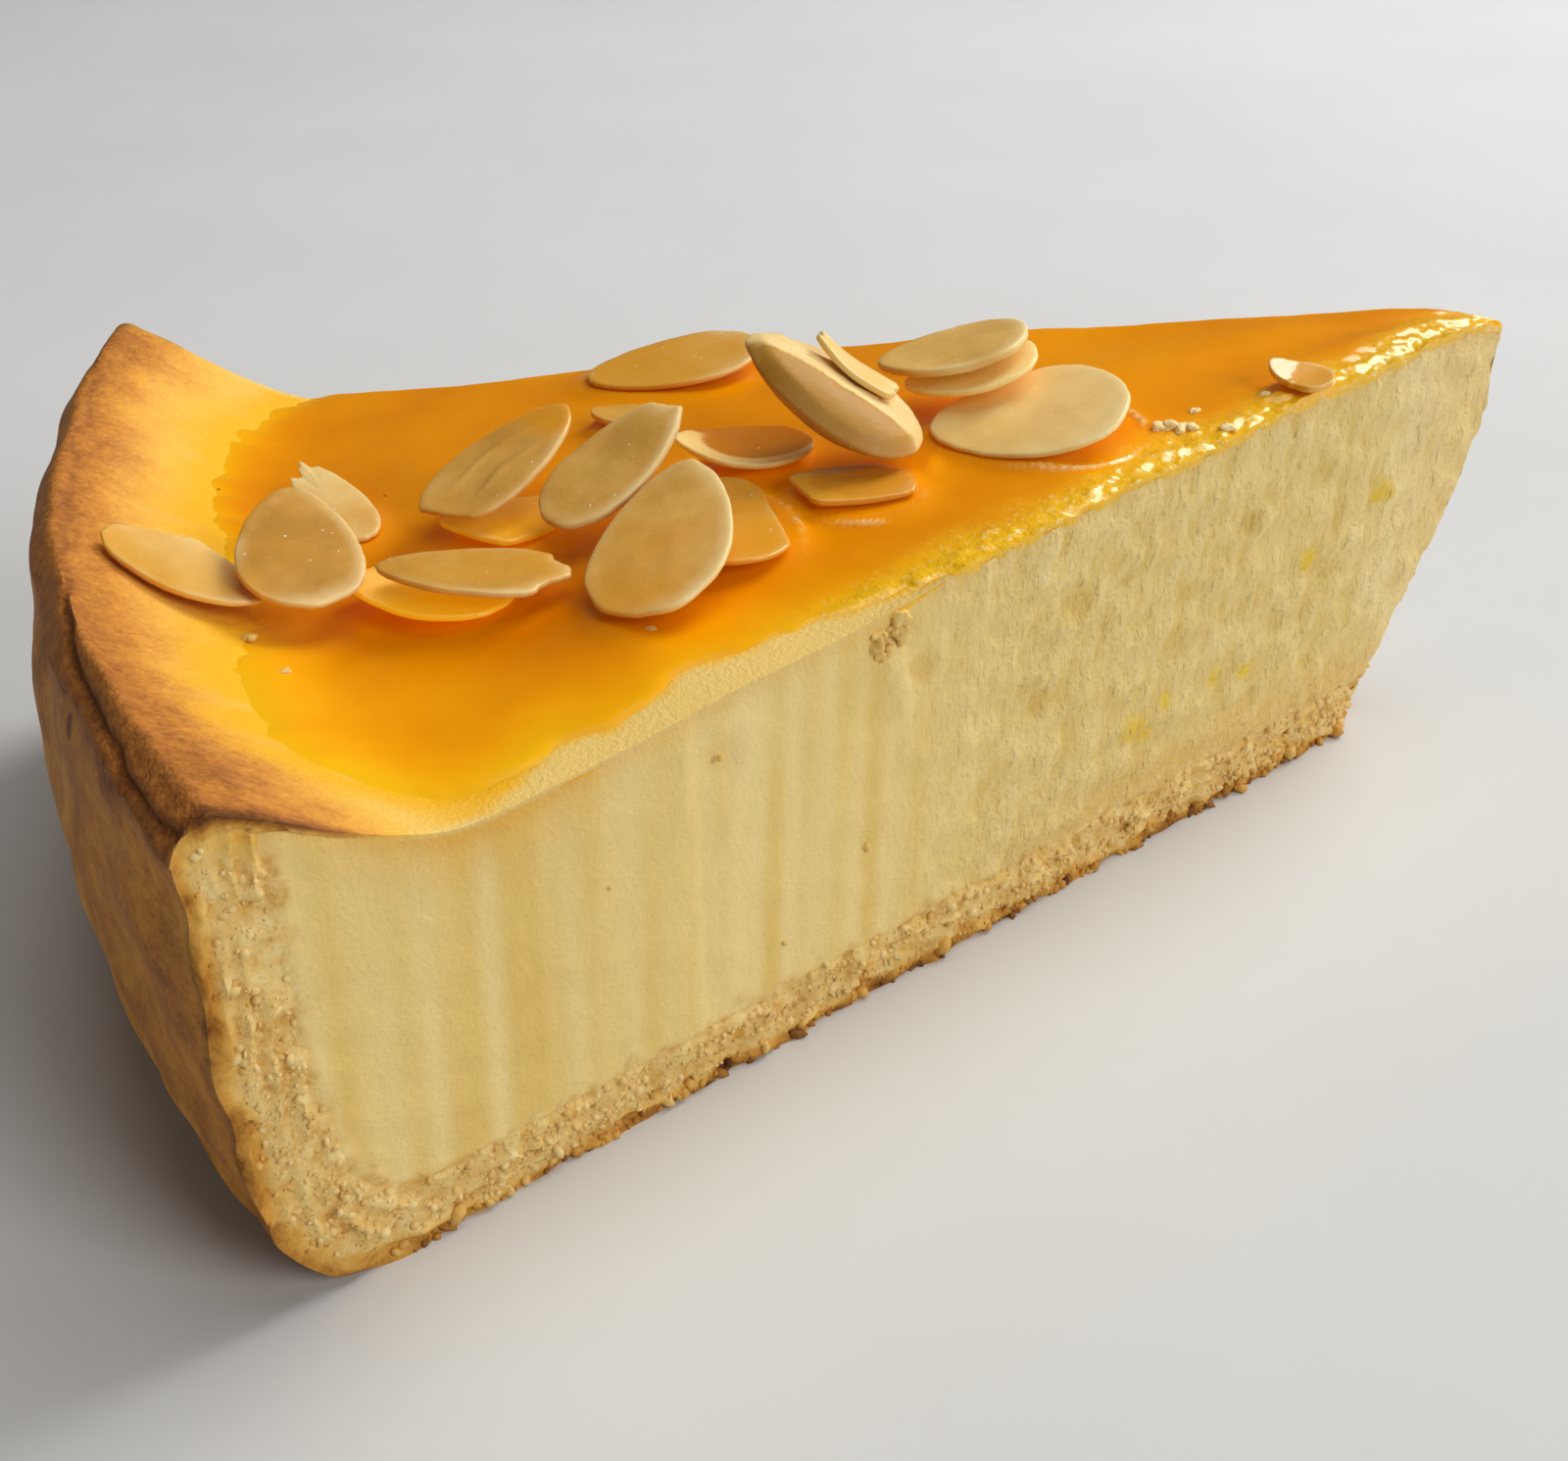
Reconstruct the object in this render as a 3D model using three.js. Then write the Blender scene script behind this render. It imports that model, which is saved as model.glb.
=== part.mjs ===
// A wedge of baked cheesecake, as cut from a round cake and set down on its base.
// Lengths are millimetres and +Z is up. While the pieces are made, the cake's own axis is the origin,
// the browned outer end points to -X, and the two knife cuts face -Y (near) and +Y (far). The finished
// group is then shifted so that the middle of its footprint is the origin and its base lies at z = 0.
// Every piece is one closed solid: the shortcrust, the cheese filling, the fruit glaze and the almond
// flakes. Neighbours are kept GAP apart, so that none of them overlaps.
import * as THREE from 'three';

// Overall size of the wedge.
const WEDGE_ANGLE = THREE.MathUtils.degToRad(39.5);
const HALF_ANGLE = WEDGE_ANGLE / 2;
const GAP = 0.3;

// Shortcrust: an outer wall and a base, rolled to about the same thickness. The wall bulges between the
// foot and mid height, and is drawn in again toward the rim, which ends in a low rounded crest.
const CRUST_OUTER_RADIUS = 131.2;
const BASE_THICKNESS = 5.2;
const CRUST_ROUGHNESS = 0.35;
const WALL_BULGE = 1.1;
const BULGE_FULL_AT = 12;
const RIM_DRAWN_IN = 0.7;
const DRAWN_IN_FROM = 24;
const DRAWN_IN_OVER = 15;
const RIM_CREST = 1.9;
const CREST_LEAN = 1.15;
const RIM_UNEVENNESS = 0.25;

// Filling and glaze. The cuts of the filling are torn twice as rough toward the tip. The glaze thickens
// inward from its edge, and the filling sinks to make room for it just outside of that edge.
const TOP_UNEVENNESS = 0.22;
const FILLING_ROUGHNESS = 0.25;
const TORN_WITHIN = 80;
const TORN_FADE = 20;
const GLAZE_EDGE_THICKNESS = 0.4;
const GLAZE_FULL_THICKNESS = 0.85;
const GLAZE_THICKENS_OVER = 5;
const GLAZE_STANDS_PROUD = 0.25;
const SEAT_STARTS_OUTSIDE = 3.6;
const SEAT_DEEPENS_OVER = 2.8;

// The knife leaves the tip blunt: half its width there, as a share of the full wedge, and how far
// back the rounding runs.
const TIP_BLUNTNESS = 0.5;
const TIP_ROUNDING = 4;
const TIP_TOP_HEIGHT = 38;

// Cells of the lattices that the pieces are made from: round the arc between the cuts, along the
// section, and through the thickness.
const CRUST_ARC_CELLS = 14;
const CRUST_DEPTH_CELLS = 4;
const BASE_STEPS = 22;
const FILLING_LENGTH_CELLS = 40;
const FILLING_ARC_CELLS = 12;
const FILLING_HEIGHT_CELLS = 9;
const GLAZE_LENGTH_CELLS = 36;
const GLAZE_ARC_CELLS = 12;

// Height of the baked top over the base, against the distance from the cake's axis. It sinks beside the
// browned rim, where the filling has pulled down from the wall, and droops a little at the tip.
const TOP_HEIGHT = [[1, 37.0], [4, 38.0], [9, 38.5], [20, 38.1], [40, 37.2], [60, 36.0], [80, 34.2],
  [100, 32.5], [110, 31.7], [114, 31.9], [118, 33.4], [122, 35.5], [126, 37.9], [129, 39.3]];

// Distance of the tip's end from the axis, against the height. The base is broken back further.
const TIP_SETBACK = [[0, 15.4], [5, 12.6], [10, 9.6], [15, 6.8],
  [20, 4.4], [25, 2.9], [30, 2.1], [39, 1.4]];

// The crust's inner face in section, as distance and height: down the wall, round the inside corner and
// along the base to the tip. The corner is the entry numbered INNER_CORNER.
const CRUST_INSIDE = [[125.8, 37.8], [126.0, 34], [126.0, 29], [125.9, 24], [125.8, 19], [125.4, 14],
  [124.8, 10.5], [123.6, 7.8], [121.4, 6.1], [117.5, 5.4], [111, BASE_THICKNESS]];
const INNER_CORNER = 7;
const WALL_ENDS_PAST_CORNER = 3;

// The crust's outer face, entry for entry with the inner one: the distance is counted from the full
// radius. It stands upright, is rounded at the foot and then runs flat under the base.
const CRUST_OUTSIDE = [[0.1, 37.3], [0.3, 33.5], [0.6, 28.5], [0.6, 23.5], [0.5, 18.5], [0.2, 13.5],
  [-0.3, 9], [-1.1, 5.2], [-3.4, 1.7], [-7.5, 0], [-14, 0]];

// Where the glaze ends: toward the rim, against s, and the bare strip along the near cut, against the
// distance from the axis. The strip narrows to nothing, and from there the glaze runs to the cut.
const GLAZE_RIM_EDGE = [[-1, 111], [-0.94, 112.5], [-0.86, 115.5], [-0.75, 119], [-0.6, 120.2],
  [-0.4, 119.2], [-0.2, 117.4], [0.1, 117.8], [0.4, 118.4], [0.65, 118], [0.85, 116.8], [1, 114.6]];
const GLAZE_NEAR_STRIP = [[64, -8], [70, -1], [76, 1.8], [84, 3],
  [92, 3.2], [100, 2.4], [106, 2.2], [112, 3]];

// Almond flakes, rim to tip. Each lies at a place on the top (x and y from the cake's axis), with its
// middle lifted above the surface. heading is the direction of its pointed end, tilt lifts that end and
// roll lifts its left side, in degrees. curl bends it like a saucer, and belly makes its underside
// round, as the outer slice of a nut has.
const FLAKES = [
  { name: 'almond_on_rim', x: -120, y: -4.5, lift: 1.9, heading: 148, tilt: 17,
    length: 14.5, width: 7.5, curl: 0.8 },
  { name: 'almond_sliver_behind', x: -108, y: 9.5, lift: 1.7, heading: 106, tilt: 6, roll: -6,
    length: 15, width: 5 },
  { name: 'almond_under_long', x: -103, y: -9, lift: 1.5, heading: 152, tilt: 2,
    length: 13.5, width: 9.5 },
  { name: 'almond_long_flat', x: -100, y: -11, lift: 2.9, heading: 162, tilt: 4,
    length: 15, width: 7.5 },
  { name: 'almond_round', x: -112, y: -5.5, lift: 5.1, heading: 86, tilt: 18, roll: 10,
    length: 13.5, width: 9.5 },
  { name: 'almond_under_pointed', x: -95, y: -0.5, lift: 1.2, heading: 12,
    length: 12, width: 8 },
  { name: 'almond_pointed', x: -95, y: 2.5, lift: 4.7, heading: 30, tilt: 18,
    length: 16.5, width: 8.5 },
  { name: 'almond_beside_oval', x: -80, y: -10.5, lift: 1.3, heading: 76, tilt: 2,
    length: 15, width: 10 },
  { name: 'almond_big_oval', x: -86.2, y: -14.2, lift: 3.3, heading: 60, tilt: 16, roll: -10,
    length: 18, width: 11 },
  { name: 'almond_narrow', x: -87, y: -3.2, lift: 5.2, heading: 26, tilt: 24, roll: 8,
    length: 15.5, width: 7.5 },
  { name: 'almond_sunken', x: -69.6, y: -9.2, lift: 1.2, heading: 155,
    length: 11, width: 8 },
  { name: 'almond_curled', x: -75, y: 1, lift: 1.7, heading: 160, tilt: 4,
    length: 12, width: 8, curl: 1.4 },
  { name: 'almond_small_far', x: -82, y: 14.5, lift: 1.1, heading: 150,
    length: 5.5, width: 4 },
  { name: 'almond_long_far', x: -74.5, y: 23.5, lift: 1.5, heading: 168, tilt: -8, roll: -2,
    length: 17, width: 11 },
  { name: 'almond_large_flat', x: -52.5, y: -6, lift: 2, heading: 155, tilt: -11, roll: -9,
    length: 17, width: 13.5 },
  { name: 'almond_lower_pair', x: -54.5, y: 1.5, lift: 3.6, heading: 162, tilt: -14,
    length: 12, width: 10 },
  { name: 'almond_upper_pair', x: -55.5, y: 3, lift: 5, heading: 157, tilt: -13,
    length: 13.5, width: 10 },
  { name: 'almond_thick', x: -68.5, y: -3, lift: 6.2, heading: 146, tilt: 30, roll: -5,
    length: 17, width: 10.5, belly: 2.2 },
  { name: 'almond_sliver_on_top', x: -66, y: -2, lift: 7.6, heading: 142, tilt: 34, roll: 4,
    length: 9, width: 4 },
  { name: 'almond_curled_bit', x: -28.5, y: -8.5, lift: 1.4, heading: 126, tilt: 8, roll: -6,
    length: 6, width: 4.5, curl: 0.8 },
];

// One flake's form: half its thickness in the middle and how much of that it loses toward the edge, how
// far it is drawn to a point, its usual curl, and the vertices of its outline and inner ring.
const FLAKE_HALF_THICKNESS = 0.65;
const FLAKE_THINS_BY = 0.26;
const FLAKE_POINTEDNESS = 0.24;
const FLAKE_CURL = 0.4;
const FLAKE_SECTORS = 14;
const FLAKE_RINGS = [0.62, 1];

const LOOKS = {
  crust: { color: 0xd9b273, roughness: 0.85 },
  filling: { color: 0xeadfae, roughness: 0.7 },
  glaze: { color: 0xf0a020, roughness: 0.15 },
  almond: { color: 0xe6cfa4, roughness: 0.4 },
};

// Cubic curve through a list of [position, value] knots, flat beyond both ends.
function through(knots, x) {
  const last = knots.length - 1;
  if (x <= knots[0][0]) {
    return knots[0][1];
  }
  if (x >= knots[last][0]) {
    return knots[last][1];
  }
  let i = 0;
  while (x > knots[i + 1][0]) {
    i += 1;
  }
  const slope = (a, b) => (knots[b][1] - knots[a][1]) / (knots[b][0] - knots[a][0]);
  const span = knots[i + 1][0] - knots[i][0];
  const t = (x - knots[i][0]) / span;
  const startSlope = i > 0 ? slope(i - 1, i + 1) : slope(i, i + 1);
  const endSlope = i + 2 <= last ? slope(i, i + 2) : slope(i, i + 1);
  return mix(knots[i][1], knots[i + 1][1], smooth(t))
    + span * t * (1 - t) * (startSlope * (1 - t) - endSlope * t);
}

function limit(t) {
  return Math.min(1, Math.max(0, t));
}

function smooth(t) {
  const c = limit(t);
  return c * c * (3 - 2 * c);
}

function mix(a, b, t) {
  return a + (b - a) * t;
}

// Smooth unevenness between about -1 and 1, the same at every build.
function uneven(a, b) {
  return (Math.sin(1.7 * a + 2.3 * b) + Math.sin(2.9 * a - 1.3 * b + 1.1)
    + Math.sin(0.9 * a + 3.7 * b + 2.2)) / 2.4;
}

// The visible top surface, with the slight waves that baking leaves.
function topHeight(r, s) {
  return through(TOP_HEIGHT, r) + TOP_UNEVENNESS * uneven(r / 9, 2 * s);
}

function tipSetback(z) {
  return through(TIP_SETBACK, z);
}

// How far round the axis a point at radius r may lie, as a share of the full half angle: 1 along the
// cuts, less where the tip is rounded off.
function tipShare(r, z) {
  const q = limit((r - tipSetback(z)) / TIP_ROUNDING);
  const blunt = TIP_BLUNTNESS * TIP_BLUNTNESS;
  return Math.sqrt(blunt + (1 - blunt) * (1 - (1 - q) * (1 - q)));
}

// Point at radius r and height z, with s from -1 on the near cut to 1 on the far cut. swell moves it
// out along the cut's normal, and is 0 for a point that isn't on a cut.
function wedgePoint(r, s, z, swell = 0) {
  const angle = s * HALF_ANGLE * tipShare(r, z);
  const x = -r * Math.cos(angle) + swell * Math.sin(HALF_ANGLE);
  const y = r * Math.sin(angle) + Math.sign(s) * swell * Math.cos(HALF_ANGLE);
  return [x, y, z];
}

function closedMesh(positions, triangles) {
  const geometry = new THREE.BufferGeometry();
  geometry.setAttribute('position', new THREE.Float32BufferAttribute(positions, 3));
  geometry.setIndex(triangles);
  return geometry;
}

// Closed indexed mesh over the six sides of a box lattice with nu, nv and nw cells. place gives a
// lattice point from its shares along the three directions and from its numbers.
function latticeSolid(nu, nv, nw, place) {
  const numbers = new Map();
  const positions = [];
  const triangles = [];
  const vertex = (i, j, k) => {
    const key = (i * (nv + 1) + j) * (nw + 1) + k;
    if (!numbers.has(key)) {
      numbers.set(key, positions.length / 3);
      positions.push(...place(i / nu, j / nv, k / nw, i, j, k));
    }
    return numbers.get(key);
  };
  const square = (a, b, c, d) => {
    triangles.push(a, b, c, a, c, d);
  };
  for (let i = 0; i < nu; i += 1) {
    for (let j = 0; j < nv; j += 1) {
      square(vertex(i, j, 0), vertex(i, j + 1, 0), vertex(i + 1, j + 1, 0), vertex(i + 1, j, 0));
      square(vertex(i, j, nw), vertex(i + 1, j, nw), vertex(i + 1, j + 1, nw), vertex(i, j + 1, nw));
    }
    for (let k = 0; k < nw; k += 1) {
      square(vertex(i, 0, k), vertex(i + 1, 0, k), vertex(i + 1, 0, k + 1), vertex(i, 0, k + 1));
      square(vertex(i, nv, k), vertex(i, nv, k + 1), vertex(i + 1, nv, k + 1), vertex(i + 1, nv, k));
    }
  }
  for (let j = 0; j < nv; j += 1) {
    for (let k = 0; k < nw; k += 1) {
      square(vertex(0, j, k), vertex(0, j, k + 1), vertex(0, j + 1, k + 1), vertex(0, j + 1, k));
      square(vertex(nu, j, k), vertex(nu, j + 1, k), vertex(nu, j + 1, k + 1), vertex(nu, j, k + 1));
    }
  }
  return closedMesh(positions, triangles);
}

// The crust's section, carried on from the listed entries to the tip at a height z.
function sectionToTip(points, z) {
  const start = points[points.length - 1][0];
  const carried = [];
  for (let i = 1; i <= BASE_STEPS; i += 1) {
    carried.push([mix(start, tipSetback(z), i / BASE_STEPS), z]);
  }
  return [...points, ...carried];
}

const INSIDE = sectionToTip(CRUST_INSIDE, BASE_THICKNESS);
const OUTSIDE = sectionToTip(CRUST_OUTSIDE.map(([out, z]) => [CRUST_OUTER_RADIUS + out, z]), 0);
const SECTION_CELLS = INSIDE.length - 1;

// Point on the crust's inner face at a fractional entry number, moved off the crust by GAP.
function besideCrust(place) {
  const i = Math.min(SECTION_CELLS - 1, Math.floor(place));
  const before = INSIDE[Math.max(0, i - 1)];
  const a = INSIDE[i];
  const b = INSIDE[i + 1];
  const after = INSIDE[Math.min(SECTION_CELLS, i + 2)];
  const t = place - i;
  const dr = mix(b[0] - before[0], after[0] - a[0], t);
  const dz = mix(b[1] - before[1], after[1] - a[1], t);
  const length = Math.hypot(dr, dz);
  return [mix(a[0], b[0], t) + GAP * dz / length, mix(a[1], b[1], t) - GAP * dr / length];
}

// Shortcrust. Along the section u runs from the rim to the tip, and w from the outside to the inside.
function crust() {
  return latticeSolid(SECTION_CELLS, CRUST_ARC_CELLS, CRUST_DEPTH_CELLS, (u, v, w, i, j, k) => {
    const s = mix(-1, 1, v);
    const onWall = smooth((INNER_CORNER + WALL_ENDS_PAST_CORNER - i) / WALL_ENDS_PAST_CORNER);
    const [outerRadius, outerZ] = OUTSIDE[i];
    const [innerRadius, innerZ] = INSIDE[i];
    const bulged = smooth(outerZ / BULGE_FULL_AT) * WALL_BULGE;
    const drawnIn = smooth((outerZ - DRAWN_IN_FROM) / DRAWN_IN_OVER) * (WALL_BULGE + RIM_DRAWN_IN);
    const bulge = (bulged - drawnIn) * (1 - s * s) * onWall;
    const crumbs = CRUST_ROUGHNESS * uneven(i * 1.3, 5 * s) * onWall;
    const r = mix(outerRadius + bulge + crumbs, innerRadius, w);
    let z = mix(outerZ, innerZ, w);
    if (i === 0) {
      const crest = Math.sin(Math.PI * Math.min(1, w * CREST_LEAN));
      z += RIM_CREST * crest + RIM_UNEVENNESS * uneven(3 * s, 4 * w);
    }
    const inCut = (j === 0 || j === CRUST_ARC_CELLS) && i > 0 && k > 0 && k < CRUST_DEPTH_CELLS;
    return wedgePoint(r, s, z, inCut ? CRUST_ROUGHNESS * uneven(i * 2.1 + k, k * 1.7) : 0);
  });
}

function glazeRim(s) {
  return through(GLAZE_RIM_EDGE, s);
}

function nearStrip(r) {
  return through(GLAZE_NEAR_STRIP, r);
}

// Distance inward from the glaze's edge, negative outside of the glaze.
function insideGlaze(r, s) {
  return Math.min(glazeRim(s) - r, (s + 1) * HALF_ANGLE * r - nearStrip(r));
}

function glazeThickness(r, s) {
  const share = smooth(insideGlaze(r, s) / GLAZE_THICKENS_OVER);
  return mix(GLAZE_EDGE_THICKNESS, GLAZE_FULL_THICKNESS, share);
}

// Height of the filling's own top: the visible surface, or under the glaze what leaves room for it.
function fillingTop(r, s) {
  const room = glazeThickness(r, s) + GAP - GLAZE_STANDS_PROUD;
  return topHeight(r, s) - room * smooth((insideGlaze(r, s) + SEAT_STARTS_OUTSIDE) / SEAT_DEEPENS_OVER);
}

// Cheese filling. Its section is blended between four edges: the crust's inner face moved inward, below
// and outside, the baked top and the tip. That keeps the two cuts even.
function filling() {
  const tipRadius = tipSetback(TIP_TOP_HEIGHT);
  const outerLow = besideCrust(INNER_CORNER);
  const tipLow = besideCrust(SECTION_CELLS);
  const wallTop = besideCrust(0);
  return latticeSolid(FILLING_LENGTH_CELLS, FILLING_ARC_CELLS, FILLING_HEIGHT_CELLS, (u, v, w, i, j, k) => {
    const s = mix(-1, 1, v);
    const outerHigh = [wallTop[0], fillingTop(wallTop[0], s)];
    const tipHigh = [tipRadius, fillingTop(tipRadius, s)];
    const topRadius = mix(wallTop[0], tipRadius, u);
    const top = [topRadius, fillingTop(topRadius, s)];
    const bottom = besideCrust(mix(INNER_CORNER, SECTION_CELLS, u));
    const outer = besideCrust(mix(INNER_CORNER, 0, w));
    outer[1] += (outerHigh[1] - wallTop[1]) * w;
    const tipZ = mix(tipLow[1], tipHigh[1], w);
    const tip = w === 0 ? tipLow : [tipSetback(tipZ), tipZ];
    const blend = (n) => mix(bottom[n], top[n], w) + mix(outer[n], tip[n], u)
      - mix(mix(outerLow[n], outerHigh[n], w), mix(tipLow[n], tipHigh[n], w), u);
    const r = blend(0);
    const z = blend(1);
    const inCut = i > 0 && i < FILLING_LENGTH_CELLS && k > 0 && k < FILLING_HEIGHT_CELLS;
    const torn = mix(0.5, 1, smooth((TORN_WITHIN - r) / TORN_FADE));
    return wedgePoint(r, s, z, inCut ? FILLING_ROUGHNESS * torn * uneven(i * 0.9, k * 1.6) : 0);
  });
}

// Fruit glaze: a thin skin over the filling, from the foot of the rim to the tip.
function glaze() {
  const tip = tipSetback(TIP_TOP_HEIGHT);
  return latticeSolid(GLAZE_LENGTH_CELLS, GLAZE_ARC_CELLS, 1, (u, v, w) => {
    const radiusAt = (side) => mix(glazeRim(side), tip, u);
    const farRadius = radiusAt(mix(-1, 1, v));
    const bare = Math.max(0, nearStrip(farRadius)) / (HALF_ANGLE * farRadius);
    const s = mix(-1 + bare, 1, v);
    const r = radiusAt(s);
    return wedgePoint(r, s, topHeight(r, s) + GLAZE_STANDS_PROUD - (1 - w) * glazeThickness(r, s));
  });
}

// One almond flake: a thin saucer with an egg-shaped outline, made of an upper and a lower face that
// each have a middle vertex and rings round it, joined at the rim.
function flake({ x, y, lift, heading, tilt = 0, roll = 0, length, width, curl = FLAKE_CURL, belly = 0 }) {
  const turn = new THREE.Matrix4().makeRotationZ(THREE.MathUtils.degToRad(heading))
    .multiply(new THREE.Matrix4().makeRotationY(THREE.MathUtils.degToRad(-tilt)))
    .multiply(new THREE.Matrix4().makeRotationX(THREE.MathUtils.degToRad(roll)));
  const surface = topHeight(Math.hypot(x, y), Math.atan2(y, -x) / HALF_ANGLE) + GLAZE_STANDS_PROUD;
  const middle = new THREE.Vector3(x, y, surface + lift);
  const point = (share, angle, above) => {
    const along = share * Math.cos(angle);
    const aside = share * Math.sin(angle) * (1 - FLAKE_POINTEDNESS * Math.cos(angle));
    const bend = curl * (along * along + 0.5 * aside * aside - 0.4);
    const half = FLAKE_HALF_THICKNESS - FLAKE_THINS_BY * share * share;
    const z = above ? bend + half : bend - half - belly * (1 - share * share);
    const local = new THREE.Vector3(along * length / 2, aside * width / 2, z);
    return local.applyMatrix4(turn).add(middle).toArray();
  };
  const positions = [];
  for (const above of [true, false]) {
    positions.push(...point(0, 0, above));
    for (const share of FLAKE_RINGS) {
      for (let i = 0; i < FLAKE_SECTORS; i += 1) {
        positions.push(...point(share, 2 * Math.PI * i / FLAKE_SECTORS, above));
      }
    }
  }
  const lowerMiddle = 1 + FLAKE_RINGS.length * FLAKE_SECTORS;
  const upper = (ring, i) => 1 + ring * FLAKE_SECTORS + i % FLAKE_SECTORS;
  const lower = (ring, i) => lowerMiddle + upper(ring, i);
  const triangles = [];
  for (let i = 0; i < FLAKE_SECTORS; i += 1) {
    const next = i + 1;
    triangles.push(0, upper(0, i), upper(0, next));
    triangles.push(lowerMiddle, lower(0, next), lower(0, i));
    for (let ring = 0; ring + 1 < FLAKE_RINGS.length; ring += 1) {
      triangles.push(upper(ring, i), upper(ring + 1, i), upper(ring + 1, next));
      triangles.push(upper(ring, i), upper(ring + 1, next), upper(ring, next));
      triangles.push(lower(ring, i), lower(ring + 1, next), lower(ring + 1, i));
      triangles.push(lower(ring, i), lower(ring, next), lower(ring + 1, next));
    }
    const rim = FLAKE_RINGS.length - 1;
    triangles.push(upper(rim, i), lower(rim, i), lower(rim, next));
    triangles.push(upper(rim, i), lower(rim, next), upper(rim, next));
  }
  return closedMesh(positions, triangles);
}

function piece(name, geometry, look) {
  const mesh = new THREE.Mesh(geometry, new THREE.MeshStandardMaterial(look));
  mesh.name = name;
  return mesh;
}

const cake = new THREE.Group();
cake.name = 'cheesecake_slice';
cake.add(piece('crust', crust(), LOOKS.crust));
cake.add(piece('filling', filling(), LOOKS.filling));
cake.add(piece('glaze', glaze(), LOOKS.glaze));
for (const spec of FLAKES) {
  cake.add(piece(spec.name, flake(spec), LOOKS.almond));
}

// Origin at the middle of the footprint, on the resting face.
const bounds = new THREE.Box3().setFromObject(cake);
const shift = [-(bounds.min.x + bounds.max.x) / 2, -(bounds.min.y + bounds.max.y) / 2, -bounds.min.z];
for (const mesh of cake.children) {
  mesh.geometry.translate(...shift);
  mesh.geometry.computeVertexNormals();
}

export default cake;
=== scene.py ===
# %% [markdown]
# # A slice of baked cheesecake
#
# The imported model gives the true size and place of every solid: the shortcrust, the cheese filling, the
# fruit glaze and the almond flakes. This script dresses them. It makes a finer mesh for each one, with the
# crumb, the knife marks and the browning that the coarse solids leave out, and gives it a material.
# Bump alone would be less work, but crumbs and torn cheese have real depth that shows at the edges of the
# slice, so the script makes new meshes.

# %% Load the frame
import itertools
import math
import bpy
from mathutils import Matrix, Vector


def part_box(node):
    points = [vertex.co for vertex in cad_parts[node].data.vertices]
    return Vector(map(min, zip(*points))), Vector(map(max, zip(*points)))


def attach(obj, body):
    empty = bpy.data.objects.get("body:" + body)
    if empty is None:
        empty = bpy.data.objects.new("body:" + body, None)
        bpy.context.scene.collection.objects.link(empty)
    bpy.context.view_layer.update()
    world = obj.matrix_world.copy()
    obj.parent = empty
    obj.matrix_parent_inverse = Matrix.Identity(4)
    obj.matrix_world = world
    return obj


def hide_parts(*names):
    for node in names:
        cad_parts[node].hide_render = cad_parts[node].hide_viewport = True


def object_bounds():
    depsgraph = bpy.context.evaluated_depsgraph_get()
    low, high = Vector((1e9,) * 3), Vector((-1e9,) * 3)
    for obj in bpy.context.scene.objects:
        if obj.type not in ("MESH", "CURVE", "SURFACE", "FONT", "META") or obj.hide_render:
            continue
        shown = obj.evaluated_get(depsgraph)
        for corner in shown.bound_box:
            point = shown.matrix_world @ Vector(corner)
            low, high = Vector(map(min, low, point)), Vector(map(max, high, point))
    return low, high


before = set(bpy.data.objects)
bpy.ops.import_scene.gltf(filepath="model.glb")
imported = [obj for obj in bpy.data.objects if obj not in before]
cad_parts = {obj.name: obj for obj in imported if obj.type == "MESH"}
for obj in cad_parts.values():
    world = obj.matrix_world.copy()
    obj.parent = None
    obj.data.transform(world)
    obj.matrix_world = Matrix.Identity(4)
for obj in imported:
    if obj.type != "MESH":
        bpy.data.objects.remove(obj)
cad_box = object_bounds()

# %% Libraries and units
from types import SimpleNamespace

import bpy
import numpy as np
from mathutils import Matrix, Vector

MM = 0.001
print("size of the solids in mm:", [round(side / MM, 1) for side in cad_box[1] - cad_box[0]])

# %% [markdown]
# ## Sizes of the slice
#
# The cake was round, so its shapes are simplest in distances from its own axis. `s` runs round the arc,
# from -1 on the near cut to 1 on the far cut, and `z` is the height over the base. The lists are sections
# through the cake: each entry is a distance and a height in millimetres. They are the same as the solids
# have, so a finer mesh made from them lies where the solid lies.

# %% Sizes of the slice
HALF_ANGLE = math.radians(39.5) / 2
CRUST_OUTER_RADIUS = 131.2
BASE_THICKNESS = 5.2
BASE_STEPS = 22
INNER_CORNER = 7
TIP_TOP_HEIGHT = 38
TOP_HEIGHT = [[1, 37.0], [4, 38.0], [9, 38.5], [20, 38.1], [40, 37.2], [60, 36.0], [80, 34.2],
              [100, 32.5], [110, 31.7], [114, 31.9], [118, 33.4], [122, 35.5], [126, 37.9], [129, 39.3]]
TIP_SETBACK = [[0, 15.4], [5, 12.6], [10, 9.6], [15, 6.8], [20, 4.4], [25, 2.9], [30, 2.1], [39, 1.4]]
CRUST_INSIDE = [[125.8, 37.8], [126.0, 34], [126.0, 29], [125.9, 24], [125.8, 19], [125.4, 14],
                [124.8, 10.5], [123.6, 7.8], [121.4, 6.1], [117.5, 5.4], [111, BASE_THICKNESS]]
CRUST_OUTSIDE = [[0.1, 37.3], [0.3, 33.5], [0.6, 28.5], [0.6, 23.5], [0.5, 18.5], [0.2, 13.5],
                 [-0.3, 9], [-1.1, 5.2], [-3.4, 1.7], [-7.5, 0], [-14, 0]]
GLAZE_RIM_EDGE = [[-1, 111], [-0.94, 112.5], [-0.86, 115.5], [-0.75, 119], [-0.6, 120.2], [-0.4, 119.2],
                  [-0.2, 117.4], [0.1, 117.8], [0.4, 118.4], [0.65, 118], [0.85, 116.8], [1, 114.6]]
GLAZE_NEAR_STRIP = [[64, -8], [70, -1], [76, 1.8], [84, 3], [92, 3.2], [100, 2.4], [106, 2.2], [112, 3]]


def mix(a, b, t):
    return a + (b - a) * t


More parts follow.
